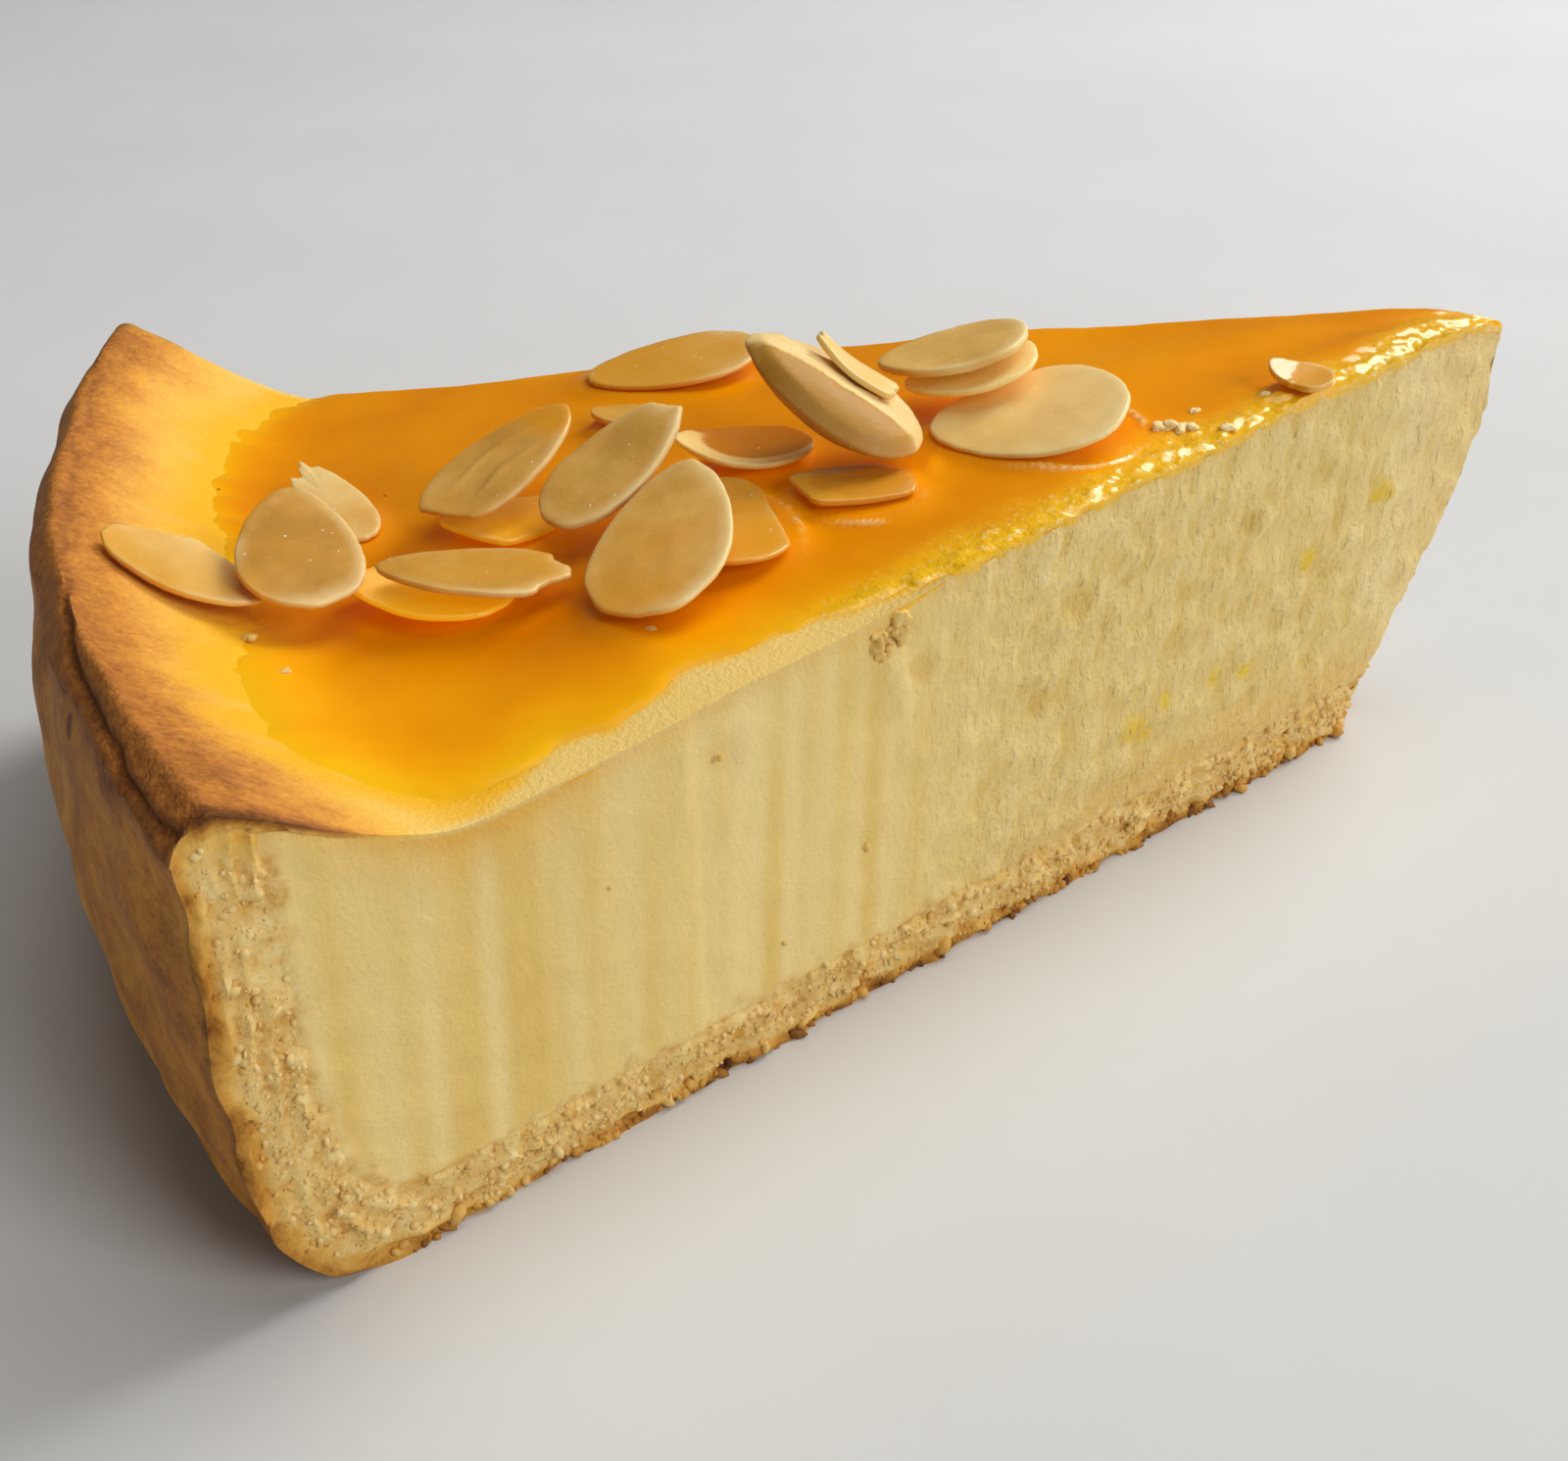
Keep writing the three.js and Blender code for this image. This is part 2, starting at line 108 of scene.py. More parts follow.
def smooth(t):
    """0 below 0, 1 above 1, and an even S-curve between."""
    t = np.clip(t, 0, 1)
    return t * t * (3 - 2 * t)


def through(knots, x):
    """Cubic curve through [position, value] knots, flat beyond both ends."""
    at, value = np.asarray(knots, float).T
    x = np.clip(np.asarray(x, float), at[0], at[-1])
    slopes = np.gradient(value)
    slopes[1:-1] = (value[2:] - value[:-2]) / (at[2:] - at[:-2])
    slopes[0] = (value[1] - value[0]) / (at[1] - at[0])
    slopes[-1] = (value[-1] - value[-2]) / (at[-1] - at[-2])
    i = np.clip(np.searchsorted(at, x, side="right") - 1, 0, len(at) - 2)
    span = at[i + 1] - at[i]
    t = (x - at[i]) / span
    bend = slopes[i] * (1 - t) - slopes[i + 1] * t
    return mix(value[i], value[i + 1], smooth(t)) + span * t * (1 - t) * bend


def uneven(a, b):
    """The slow waves that the solids have, between about -1 and 1."""
    waves = np.sin(1.7 * a + 2.3 * b) + np.sin(2.9 * a - 1.3 * b + 1.1) + np.sin(0.9 * a + 3.7 * b + 2.2)
    return waves / 2.4


def top_height(r, s):
    return through(TOP_HEIGHT, r) + 0.22 * uneven(r / 9, 2 * s)


def tip_setback(z):
    return through(TIP_SETBACK, z)


def wedge_point(r, s, z, swell=0):
    """Point of the wedge, moved out of a cut by swell."""
    q = np.clip((r - tip_setback(z)) / 4, 0, 1)
    angle = s * HALF_ANGLE * np.sqrt(0.25 + 0.75 * (1 - (1 - q) ** 2))
    x = -r * np.cos(angle) + swell * math.sin(HALF_ANGLE)
    y = r * np.sin(angle) + np.sign(s) * swell * math.cos(HALF_ANGLE)
    return np.stack([x, y, z + 0 * r], axis=1)


# The axis stands off the filling's tip by the tip's setback.
AXIS = np.array([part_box("filling")[1].x / MM + float(tip_setback(TIP_TOP_HEIGHT)), 0, 0])
print("the cake's axis is at x =", round(AXIS[0], 2), "mm")

# %% [markdown]
# ## Noise for natural unevenness
#
# Nothing baked is even. Two kinds of randomness are enough here: smooth noise, for waves and drag marks,
# and scattered grains, for crumb and pebbly crust. Blender's textures could give both inside a material,
# but here they have to move mesh points, so they are worked out with numpy, from a fixed seed.

# %% Noise for natural unevenness
def hashed(cells, seed):
    """A random number from 0 to 1 for each whole-numbered cell, always the same."""
    x, y, z = cells.astype(np.uint64).T
    n = x * np.uint64(374761393) + y * np.uint64(668265263) + z * np.uint64(2246822519)
    n = (n + np.uint64(seed * 1274126177)) & np.uint64(0xFFFFFFFF)
    n = ((n ^ (n >> np.uint64(13))) * np.uint64(1274126177)) & np.uint64(0xFFFFFFFF)
    n = n ^ (n >> np.uint64(16))
    return (n & np.uint64(0xFFFFFF)).astype(float) / 0xFFFFFF


FAR_FROM_ZERO = 5000


def noise(points, size, seed=0):
    """Smooth noise from -1 to 1, with bumps of about that size: one number, or one for each axis."""
    at = points / np.asarray(size, float) + FAR_FROM_ZERO
    cell = np.floor(at)
    t = smooth(at - cell)
    total = 0
    for corner in itertools.product((0, 1), repeat=3):
        weight = np.prod(np.where(corner, t, 1 - t), axis=1)
        total = total + weight * hashed(cell + corner, seed)
    return 2 * total - 1


def layered(points, size, seed=0, layers=3):
    """Noise with finer and weaker noise added."""
    size = np.asarray(size, float)
    total = sum(noise(points, size / 2 ** n, seed + n) / 2 ** n for n in range(layers))
    return total / 1.6


def grains(points, size, seed=0):
    """Scattered grains: distance to the nearest one, in sizes, and its random number."""
    at = points / np.asarray(size, float) + FAR_FROM_ZERO
    home = np.floor(at)
    nearest = np.full(len(points), np.inf)
    label = np.zeros(len(points))
    for step in itertools.product((-1, 0, 1), repeat=3):
        cell = home + step
        centre = cell + np.stack([hashed(cell, seed + k) for k in (1, 2, 3)], axis=1)
        distance = np.linalg.norm(at - centre, axis=1)
        label = np.where(distance < nearest, hashed(cell, seed), label)
        nearest = np.minimum(nearest, distance)
    return nearest, label


# %% [markdown]
# ## Meshes from a box lattice
#
# The crust, the filling and the glaze are all bent boxes. A lattice of numbered points on the six sides of
# a box gives one closed skin with shared edges, and a placing function bends it to shape. Sculpting or a
# boolean could make the same form, but a lattice keeps every point's place in the food known, and that
# place later tells how brown, how wet or how torn the point is.

# %% Meshes from a box lattice
def lattice(nu, nv, nw):
    """Numbers (i, j, k) of the points on a box's six sides, and the quads between them."""
    number = np.full((nu + 1, nv + 1, nw + 1), -1)
    skin = np.ones(number.shape, bool)
    skin[1:-1, 1:-1, 1:-1] = False
    number[skin] = np.arange(skin.sum())

    def quads(side, inward):
        a, b, c, d = side[:-1, :-1], side[1:, :-1], side[1:, 1:], side[:-1, 1:]
        order = (a, d, c, b) if inward else (a, b, c, d)
        return np.stack([corner.ravel() for corner in order], axis=1)

    faces = [quads(number[:, :, 0], True), quads(number[:, :, -1], False),
             quads(number[:, 0, :], False), quads(number[:, -1, :], True),
             quads(number[0], True), quads(number[-1], False)]
    return np.argwhere(skin), np.concatenate(faces)


def normals_of(points, quads):
    """The direction that the skin faces at each point."""
    face = np.cross(points[quads[:, 2]] - points[quads[:, 0]], points[quads[:, 3]] - points[quads[:, 1]])
    total = np.zeros_like(points)
    for corner in range(4):
        for axis in range(3):
            total[:, axis] += np.bincount(quads[:, corner], face[:, axis], len(points))
    return total / np.maximum(np.linalg.norm(total, axis=1, keepdims=True), 1e-12)


# %% Mesh pieces
SHARP_ANGLE = math.radians(55)


def inside_box(places):
    """Places in metres, held inside the solids' box."""
    low, high = (np.array(corner) for corner in cad_box)
    return np.clip(places, low, high)


def add_piece(name, mesh, replaces=None):
    """An object with that mesh, which rides on the one body."""
    piece = bpy.data.objects.new(name, mesh)
    bpy.context.scene.collection.objects.link(piece)
    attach(piece, "root")
    if replaces:
        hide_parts(replaces)
    triangles = sum(len(polygon.vertices) - 2 for polygon in mesh.polygons)
    print(f"{name}: {triangles} triangles")
    return piece


def shade_smooth(mesh):
    mesh.polygons.foreach_set("use_smooth", np.ones(len(mesh.polygons), bool))


def make_piece(name, points, faces, finish, slot, replaces=None, sharp_edges=True, **masks):
    """A piece from points in millimetres from the cake's axis, and a list of faces.
    Each mask is a number from 0 to 1 at each point, which the material reads as an attribute."""
    mesh = bpy.data.meshes.new(name)
    mesh.from_pydata(inside_box((points + AXIS) * MM).tolist(), [], faces)
    shade_smooth(mesh)
    for mask, values in masks.items():
        attribute = mesh.attributes.new(mask, "FLOAT", "POINT")
        attribute.data.foreach_set("value", np.asarray(values, np.float32))
    mesh.materials.append(finish)
    if sharp_edges:
        mesh.set_sharp_from_angle(angle=SHARP_ANGLE)
    return add_piece(name, mesh, replaces)


# %% [markdown]
# ## Writing materials as sums
#
# A material is a graph of nodes, which is tiring to build by hand. `Value` wraps one socket, so that
# `brown * 0.5 + speckle` adds the Math nodes by itself, and `Finish.node` adds any other node. Colours go
# through Mix nodes, because a Math node would turn them grey.

# %% Writing materials as sums
class Value:
    """A socket that carries a number. Arithmetic on it adds Math nodes."""

    def __init__(self, finish, socket):
        self.finish = finish
        self.socket = socket

    def math(self, operation, a, b):
        return self.finish.node("ShaderNodeMath", {"operation": operation}, {0: a, 1: b})

    def __add__(self, other):
        return self.math("ADD", self, other)

    def __sub__(self, other):
        return self.math("SUBTRACT", self, other)

    def __rsub__(self, other):
        return self.math("SUBTRACT", other, self)

    def __mul__(self, other):
        return self.math("MULTIPLY", self, other)

    __radd__ = __add__
    __rmul__ = __mul__


class Finish:
    """One procedural material, with short ways to add its nodes."""

    def __init__(self, name):
        self.material = bpy.data.materials.new(name)
        self.material.use_nodes = True
        self.tree = self.material.node_tree
        self.shader = self.tree.nodes["Principled BSDF"]
        self.place = self.node("ShaderNodeTexCoord", output="Object")

    def node(self, kind, settings=None, inputs=None, output=0):
        """Adds a node, sets it up, fills its inputs with values or links, and returns one output."""
        made = self.tree.nodes.new(kind)
        for key, value in (settings or {}).items():
            if key == "stops":
                self.fill_ramp(made.color_ramp, value)
            else:
                setattr(made, key, value)
        for key, value in (inputs or {}).items():
            self.fill(made.inputs[key], value)
        return Value(self, made.outputs[output])

    def fill(self, socket, value):
        if isinstance(value, Value):
            self.tree.links.new(value.socket, socket)
        else:
            socket.default_value = value

    def fill_ramp(self, ramp, stops):
        while len(ramp.elements) < len(stops):
            ramp.elements.new(0.5)
        for element, (position, colour) in zip(ramp.elements, stops):
            element.position = position
            element.color = (*colour, 1)

    def ramp(self, factor, stops):
        return self.node("ShaderNodeValToRGB", {"stops": stops}, {"Fac": factor}, "Color")

    def blend(self, factor, a, b):
        """Colour a where the factor is 0, and b where it is 1."""
        a, b = (c if isinstance(c, Value) else (*c, 1) for c in (a, b))
        return self.node("ShaderNodeMix", {"data_type": "RGBA"}, {0: factor, 6: a, 7: b}, 2)

    def mask(self, name):
        return self.node("ShaderNodeAttribute", {"attribute_name": name}, output="Fac")

    def noise(self, size, detail=2, rough=0.5, upright=1):
        """Noise with bumps of about that many millimetres, and that many times as tall as wide."""
        place = self.place
        if upright != 1:
            place = self.node("ShaderNodeVectorMath", {"operation": "MULTIPLY"},
                              {0: place, 1: (1, 1, 1 / upright)})
        inputs = {"Vector": place, "Scale": 1 / (size * MM), "Detail": detail, "Roughness": rough}
        return self.node("ShaderNodeTexNoise", None, inputs, "Fac")

    def cells(self, size):
        """Distance from the middle of the nearest cell, in cells of about that many millimetres."""
        inputs = {"Vector": self.place, "Scale": 1 / (size * MM)}
        return self.node("ShaderNodeTexVoronoi", None, inputs, "Distance")

    def step(self, value, start, end):
        """0 up to start and 1 from end on, smoothly."""
        inputs = {"Value": value, "From Min": start, "From Max": end}
        return self.node("ShaderNodeMapRange", {"interpolation_type": "SMOOTHSTEP"}, inputs)

    def finish(self, colour, roughness, height, depth, **constants):
        """Wires the shader: colour and roughness, and height as bumps of that depth in millimetres."""
        self.fill(self.shader.inputs["Base Color"], colour)
        self.fill(self.shader.inputs["Roughness"], roughness)
        bump = self.node("ShaderNodeBump", None, {"Height": height, "Distance": depth * MM}, "Normal")
        self.fill(self.shader.inputs["Normal"], bump)
        for name, value in constants.items():
            self.fill(self.shader.inputs[name.replace("_", " ")], value)
        return self.material


# %% [markdown]
# ## Browning
#
# Pastry and cheese go through the same colours in the oven: cream, yellow, gold, brown, and at last a
# reddish black. One ramp serves both, so the brown rim of the crust runs into the filling with no seam.
# The `bake` mask says how far along the ramp a point is.

# %% Browning
BROWNING = [(0.0, (0.84, 0.62, 0.26)), (0.15, (0.90, 0.635, 0.18)), (0.3, (0.95, 0.56, 0.085)),
            (0.45, (0.86, 0.42, 0.06)), (0.6, (0.68, 0.28, 0.045)), (0.75, (0.44, 0.16, 0.032)),
            (0.88, (0.24, 0.08, 0.018)), (1.0, (0.09, 0.032, 0.012))]
# Crumb that lay against the tin is less red than the skin, and crumb from inside is pale.
TOASTED = [(0.0, (0.87, 0.61, 0.22)), (0.35, (0.84, 0.52, 0.13)), (0.6, (0.66, 0.33, 0.06)),
           (0.8, (0.38, 0.16, 0.025)), (1.0, (0.14, 0.05, 0.012))]
# Crumb from inside, by the height of its lumps: the low end is painted shade in the gaps between lumps.
PALE_CRUMB_AND_GAP_SHADE = [(0.33, (0.70, 0.41, 0.10)), (0.45, (0.84, 0.565, 0.19)), (0.6, (0.90, 0.66, 0.26)),
              (0.72, (0.95, 0.75, 0.36))]
CUT_CHEESE = [(0.3, (0.82, 0.57, 0.16)), (0.7, (0.88, 0.635, 0.20))]
# What marks the cut cheese: the mask, its strength and its colour. On torn cheese the streaks carry a
# painted highlight on the peaks, and the pits are painted darker as shade.
CHEESE_MARKS = [("streak", 1.0, (0.98, 0.78, 0.37)), ("hollow", 0.35, (0.80, 0.54, 0.15)),
                ("bleed", 1.0, (0.84, 0.44, 0.05)), ("zest", 1.0, (0.90, 0.60, 0.03))]
GLAZE_STAIN = (0.96, 0.50, 0.012)
BAKED_BUMPS = 0.13


def inside_colour(f, brown, lumps):
    """Cut cheese or crumb, toasted where the browning reaches into it."""
    colour = f.ramp(f.noise(7, 3, 0.55), CUT_CHEESE)
    for mask, strength, mark in CHEESE_MARKS:
        colour = f.blend(f.mask(mask) * strength, colour, mark)
    # The crumb is painted darker where its bumps sink, as painted shade in the gaps.
    colour = f.blend(f.mask("crumb"), colour, f.ramp(lumps, PALE_CRUMB_AND_GAP_SHADE))
    return f.blend(f.step(brown, 0.12, 0.5), colour, f.ramp(brown, TOASTED))


def baked_height(f, bake, lumps):
    """Fine grain everywhere, pebbles on brown skin, grit on crumb, and upright curds on torn cheese."""
    height = f.noise(0.45, 2, 0.65) + f.noise(1.1, 2, 0.6) * 1.8 * f.step(bake, 0.3, 0.6)
    height = height + (lumps * 2.8 + f.cells(0.6) * 0.5) * f.mask("crumb")
    curd = f.noise(0.55, 2, 0.6, upright=3.2) * 3.6 + f.noise(0.5, 2, 0.6) * 2.2
    return height + curd * f.mask("torn")


def baked_finish(name, **constants):
    """Skin, crumb and cut cheese in one graph, because they run into each other on the slice."""
    f = Finish(name)
    bake = f.mask("bake")
    mottled = (f.noise(0.55, 3, 0.6) - 0.5) * 0.26 + (f.noise(1.6, 3, 0.6) - 0.5) * 0.3
    brown = bake + mottled * f.step(bake, 0.1, 0.6) + (f.noise(4, 3) - 0.5) * 0.1
    lumps = f.noise(1.5, 3, 0.6)
    skin = f.blend(f.mask("stain"), f.ramp(brown, BROWNING), GLAZE_STAIN)
    colour = f.blend(f.mask("cut"), skin, inside_colour(f, brown, lumps))
    return f.finish(colour, 0.6, baked_height(f, bake, lumps), BAKED_BUMPS, **constants)


# %% [markdown]
# ## Glaze, almonds and loose crumbs
#
# The glaze is a clear jelly. Light goes through its thin edge, comes back off the cheese and looks yellow,
# and the thick middle keeps only orange. A true volume would be slow and would not survive an export, so
# the `deep` mask sets the colour, with some painted shade below the flakes, and a smooth coat gives the
# wet shine. Pale glints are painted in as highlights, and where the flakes shade the glaze it glows
# faintly, as painted light.

# %% Glaze, almonds and loose crumbs
NO_LIGHT = (0.0, 0.0, 0.0)


def glaze_finish():
    f = Finish("fruit_glaze")
    deep = f.mask("deep") + (f.noise(9, 2) - 0.5) * 0.25
    colour = f.ramp(deep, [(0.0, (1.0, 0.52, 0.006)), (0.25, (1.0, 0.40, 0.001)),
                           (0.55, (0.84, 0.285, 0.0)), (0.8, (0.64, 0.18, 0.0)),
                           (1.0, (0.40, 0.09, 0.0))])
    colour = f.blend(f.mask("dragged") * 0.9, colour, (1.0, 0.54, 0.006))
    # Painted highlights: pale glints are painted into the fine wrinkles of dragged jelly, and beside some
    # flakes along their raised edges of glaze.
    glints = f.step(f.noise(0.55, 2, 0.7), 0.58, 0.70) * f.mask("dragged") * 0.8
    colour = f.blend(glints, colour, (1.0, 0.82, 0.38))
    colour = f.blend(f.mask("lip") * f.step(f.noise(0.9, 2), 0.32, 0.55) * 0.8, colour, (1.0, 0.76, 0.36))
    speck = f.step(f.cells(7.5), 0.028, 0.018)
    colour = f.blend(speck * 0.8, colour, (0.12, 0.04, 0.01))
    f.fill(f.shader.inputs["Coat Weight"], f.mask("wet"))
    glow = f.ramp(f.mask("shaded"), [(0.0, NO_LIGHT), (1.0, (0.09, 0.022, 0.0))])
    f.fill(f.shader.inputs["Emission Color"], glow)
    # Painted light: the glaze glows faintly orange where the flakes shade it, which lifts that shade. It
    # only tints the shade, so it isn't worth tracing as a lamp.
    f.material.cycles.emission_sampling = "NONE"
    crinkle = f.noise(0.6, 2, 0.65) * f.mask("crinkled") * 4
    height = f.noise(2.2, 2) + f.noise(0.6, 2) * 0.3 + crinkle
    return f.finish(colour, 0.3, height, 0.05, Subsurface_Weight=0.25, Subsurface_Scale=0.002,
                    Subsurface_Radius=(1.0, 0.5, 0.05), Specular_IOR_Level=0.06, Coat_Roughness=0.1,
                    Emission_Strength=1.0)


def almond_finish():
    f = Finish("sliced_almond")
    tone = f.mask("tone") + (f.noise(4.5, 3, 0.6) - 0.5) * 0.7
    flesh = f.ramp(tone, [(0.0, (0.95, 0.70, 0.29)), (0.4, (0.85, 0.53, 0.15)), (0.7, (0.67, 0.37, 0.075)),
                          (1.0, (0.50, 0.255, 0.038))])
    # The pale rim, with its painted highlight on the side that faces the lamps.
    flesh = f.blend(f.mask("rim") * (f.noise(3, 2) * 0.7 + 0.35), flesh, (0.95, 0.76, 0.38))
    amber = f.step(f.mask("amber") + (f.noise(2.6, 3, 0.6) - 0.5) * 0.5, 0.05, 0.95)
    flesh = f.blend(amber * 0.9, flesh, (0.80, 0.345, 0.003))
    flesh = f.blend(f.mask("pool"), flesh, (0.56, 0.17, 0.001))
    fibres = f.noise(0.5, 3, 0.7)
    flesh = f.blend(f.step(fibres, 0.62, 0.75) * 0.25, flesh, (0.90, 0.72, 0.42))
    sugar = f.step(f.cells(1.7), 0.075, 0.045)
    colour = f.blend(sugar * 0.8, flesh, (1.0, 0.93, 0.78))
    f.fill(f.shader.inputs["Coat Weight"], f.mask("wet"))
    # Painted light: a flake in shade glows faintly, standing in for light that comes through a thin flake
    # from the lit glaze around it.
    glow = f.ramp(f.mask("glow"), [(0.0, NO_LIGHT), (1.0, (0.32, 0.17, 0.0))])
    f.fill(f.shader.inputs["Emission Color"], glow)
    f.material.cycles.emission_sampling = "NONE"
    height = fibres * 0.6 + sugar * 0.8
    return f.finish(colour, 0.42, height, 0.06, Subsurface_Weight=0.4, Subsurface_Scale=0.0012,
                    Subsurface_Radius=(1.0, 0.85, 0.7), Specular_IOR_Level=0.18, Coat_Roughness=0.08,
                    Emission_Strength=1.0)


def crumb_finish():
    f = Finish("crumb")
    brown = f.mask("bake") + (f.mask("tint") - 0.5) * 0.34
    pale = f.ramp(f.mask("tint"), [(0.0, (0.94, 0.73, 0.34)), (0.6, (0.86, 0.61, 0.23)),
                                   (1.0, (0.76, 0.49, 0.15))])
    colour = f.blend(f.step(brown, 0.15, 0.5), pale, f.ramp(brown, TOASTED))
    return f.finish(colour, 0.55, f.noise(0.3, 2), 0.06, Specular_IOR_Level=0.25)


PASTRY = baked_finish("shortcrust", Specular_IOR_Level=0.12)
CHEESE = baked_finish("cheese_filling", Specular_IOR_Level=0.25)
GLAZE = glaze_finish()
ALMOND = almond_finish()
CRUMB = crumb_finish()
print("materials:", [m.name for m in (PASTRY, CHEESE, GLAZE, ALMOND, CRUMB)])

# %% [markdown]
# ## The shortcrust
#
# The crust is one piece of dough: a wall and a base of the same thickness. Its section is a list of entries
# down the wall, round the foot and along the base. The lattice follows that section, and three kinds of
# relief go on: a fine pebbled skin outside, cracks along the baked rim, and crumb where the knife went
# through. The crumb is made of grains with holes between them, because a knife breaks pastry and
# doesn't slice it.

# %% The section of the crust
def section_to_tip(entries, z):
    steps = np.arange(1, BASE_STEPS + 1) / BASE_STEPS
    radii = mix(entries[-1][0], float(tip_setback(z)), steps)
    return np.concatenate([entries, np.stack([radii, np.full(BASE_STEPS, z)], axis=1)])


INSIDE = section_to_tip(np.array(CRUST_INSIDE, float), BASE_THICKNESS)
OUTSIDE = section_to_tip(np.array(CRUST_OUTSIDE, float) + [CRUST_OUTER_RADIUS, 0], 0)
ENTRIES = len(INSIDE) - 1


def along(section, place):
    """Radius and height at a fractional entry number, on a smooth curve through the entries."""
    i = np.clip(np.floor(place).astype(int), 0, ENTRIES - 1)
    t = (place - i)[:, None]
    a, b, c, d = (section[np.clip(i + n, 0, ENTRIES)] for n in (-1, 0, 1, 2))
    bend = (c - a) / 2 * (1 - t) - (d - b) / 2 * t
    return mix(b, c, smooth(t)) + t * (1 - t) * bend


# How brown the top is: distance from the axis against a place in the browning.
TOP_BROWNING = [[60, 0.12], [108, 0.14], [114, 0.17], [118, 0.22], [121, 0.33], [123.5, 0.48],
                [125.5, 0.62], [127.5, 0.71], [130, 0.76], [131.5, 0.78]]
# The crack runs along the outer edge of the rim: s against distance from the axis.
RIM_CRACK = [[-1, 130.7], [-0.9, 130.8], [-0.77, 130.3], [-0.62, 129.9], [-0.44, 129.5], [-0.23, 128.4],
             [0, 128.4], [0.3, 127.8], [0.64, 128.2], [1, 131]]
# Scorched places on the wall: s, height, half length round the arc, half height, in mm, and strength.
WALL_SCORCHES = [(-0.73, 38.2, 6.0, 0.8, 0.92), (-0.47, 37.4, 1.6, 1.2, 0.85), (-0.52, 35.6, 0.8, 1.0, 0.95),
                 (-0.78, 35.6, 1.8, 1.2, 0.7), (-0.86, 33.4, 1.2, 1.8, 0.66), (0.3, 30, 4, 2, 0.7),
                 (0.7, 25, 3, 4, 0.7)]
CRACK_DEPTH = 0.45


def arc_points(r, s, z):
    """Points on the wedge without its rounded tip: where noise is looked up."""
    return np.stack([r * np.cos(s * HALF_ANGLE), r * np.sin(s * HALF_ANGLE), z], axis=1)


def unrolled(r, s, radius):
    """The same with the arc laid straight, so that noise can run across it or along it."""
    return np.stack([r, s * HALF_ANGLE * radius, 0 * r], axis=1)


def rim_joint(s):
    """Where the filling's skin meets the crust's rim: distance from the axis, uneven as in the oven."""
    flat = unrolled(0 * s, s, 125)
    return 125.1 + 0.8 * noise(flat, 6, 33) + 0.4 * noise(flat, 1.7, 34)


def rim_skin(r, s):
    """How brown the top is from the rim inward, and the relief of its skin in mm."""
    flat = unrolled(r, s, 120)
    feather = 0.9 * noise(flat, (5, 2.4, 9), 37) + 1.3 * noise(flat, (5, 6, 9), 38)
    corner = 2.2 * smooth((-s - 0.45) / 0.5) - 1.0 * smooth((s - 0.2) / 0.6)
    bake = through(TOP_BROWNING, r + feather + corner)
    from_cut = (s + 1) * HALF_ANGLE * r
    bake = bake + 0.3 * smooth(1 - from_cut / 1.6) * smooth((r - 118) / 6)
    wander = through(RIM_CRACK, s) + 0.5 * noise(flat, (9, 2.5, 9), 43)
    strength = 0.35 + 0.65 * smooth((-s - 0.1) / 0.3) * smooth(1.3 + noise(flat, (9, 4, 9), 44))
    crack = smooth(1 - np.abs(r - wander) / 0.5) * strength
    bake = np.maximum(bake, mix(bake, 0.95, crack * 0.8))
    relief = 0.10 * layered(flat, 4.5, 73, layers=2)
    return bake, relief * mix(0.5, 1, smooth((r - 119) / 6)) - CRACK_DEPTH * crack


# %% The crust's mesh
CRUST_CELLS = (ENTRIES * 12, 100, 18)
CRUMB_SPREAD = 0.8
GRAIN, FINE_GRAIN = 1.7, 0.8
HOLE_SHARE = 0.16


def wall_bake(r, s, z, flat):
    """How brown the outer wall and the underside are."""
    blotch = layered(flat, 8, 41)
    # The wall is made darker over its lowest 12 mm.
    bake = 0.56 + 0.17 * blotch + 0.12 * noise(flat, 3.0, 47) + 0.12 * smooth(1 - z / 12)
    bake = bake + 0.05 + 0.1 * smooth((z - 33) / 5)
    for place, height, half_arc, half_height, strength in WALL_SCORCHES:
        away = np.hypot((s - place) * HALF_ANGLE * r / half_arc, (z - height) / half_height)
        bake = np.maximum(bake, strength * smooth(1.5 - away + 0.5 * noise(flat, 1.5, 49)))
    return bake


def crust_section(place, s, w, on_rim):
    """Distance from the axis and height of points through the dough, without its crumb."""
    outer, inner = along(OUTSIDE, place), along(INSIDE, place)
    on_wall = smooth((INNER_CORNER + 3 - place) / 3)
    drawn_in = smooth((outer[:, 1] - 24) / 15) * 1.8
    bulge = (smooth(outer[:, 1] / 12) * 1.1 - drawn_in) * (1 - s * s) * on_wall
    dents = 0.35 * uneven(place * 1.3, 5 * s) * on_wall
    r = mix(outer[:, 0] + bulge + dents, inner[:, 0], w)
    r = r - 2.6 * smooth((w - 0.6) / 0.4) * on_rim
    z = mix(outer[:, 1], inner[:, 1], w)
    crest = 1.9 * np.sin(np.pi * np.minimum(1, w * 1.15)) + 0.25 * uneven(3 * s, 4 * w)
    rim_z = mix(z + crest, top_height(r, s) + 0.03, smooth((w - 0.4) / 0.35))
    rim_z = rim_z - 0.5 * smooth((rim_joint(s) - 0.35 - r) / 0.7)
    return r, np.where(on_rim, rim_z, z)


def crumb_spread(flat, place, w):
    """How far the crumb of a cut spreads over the edge of the filling: outward and down, in mm."""
    slope = np.gradient(INSIDE, axis=0)[np.clip(place.astype(int), 0, ENTRIES)]
    slope = slope / np.linalg.norm(slope, axis=1, keepdims=True)
    spread = CRUMB_SPREAD * (1.0 + 0.7 * noise(flat, 2.6, 51) + 0.4 * noise(flat, 0.9, 52))
    spread = spread * smooth((w - 0.75) / 0.25) * smooth(place / 2)
    return spread * slope[:, 1], spread * slope[:, 0]


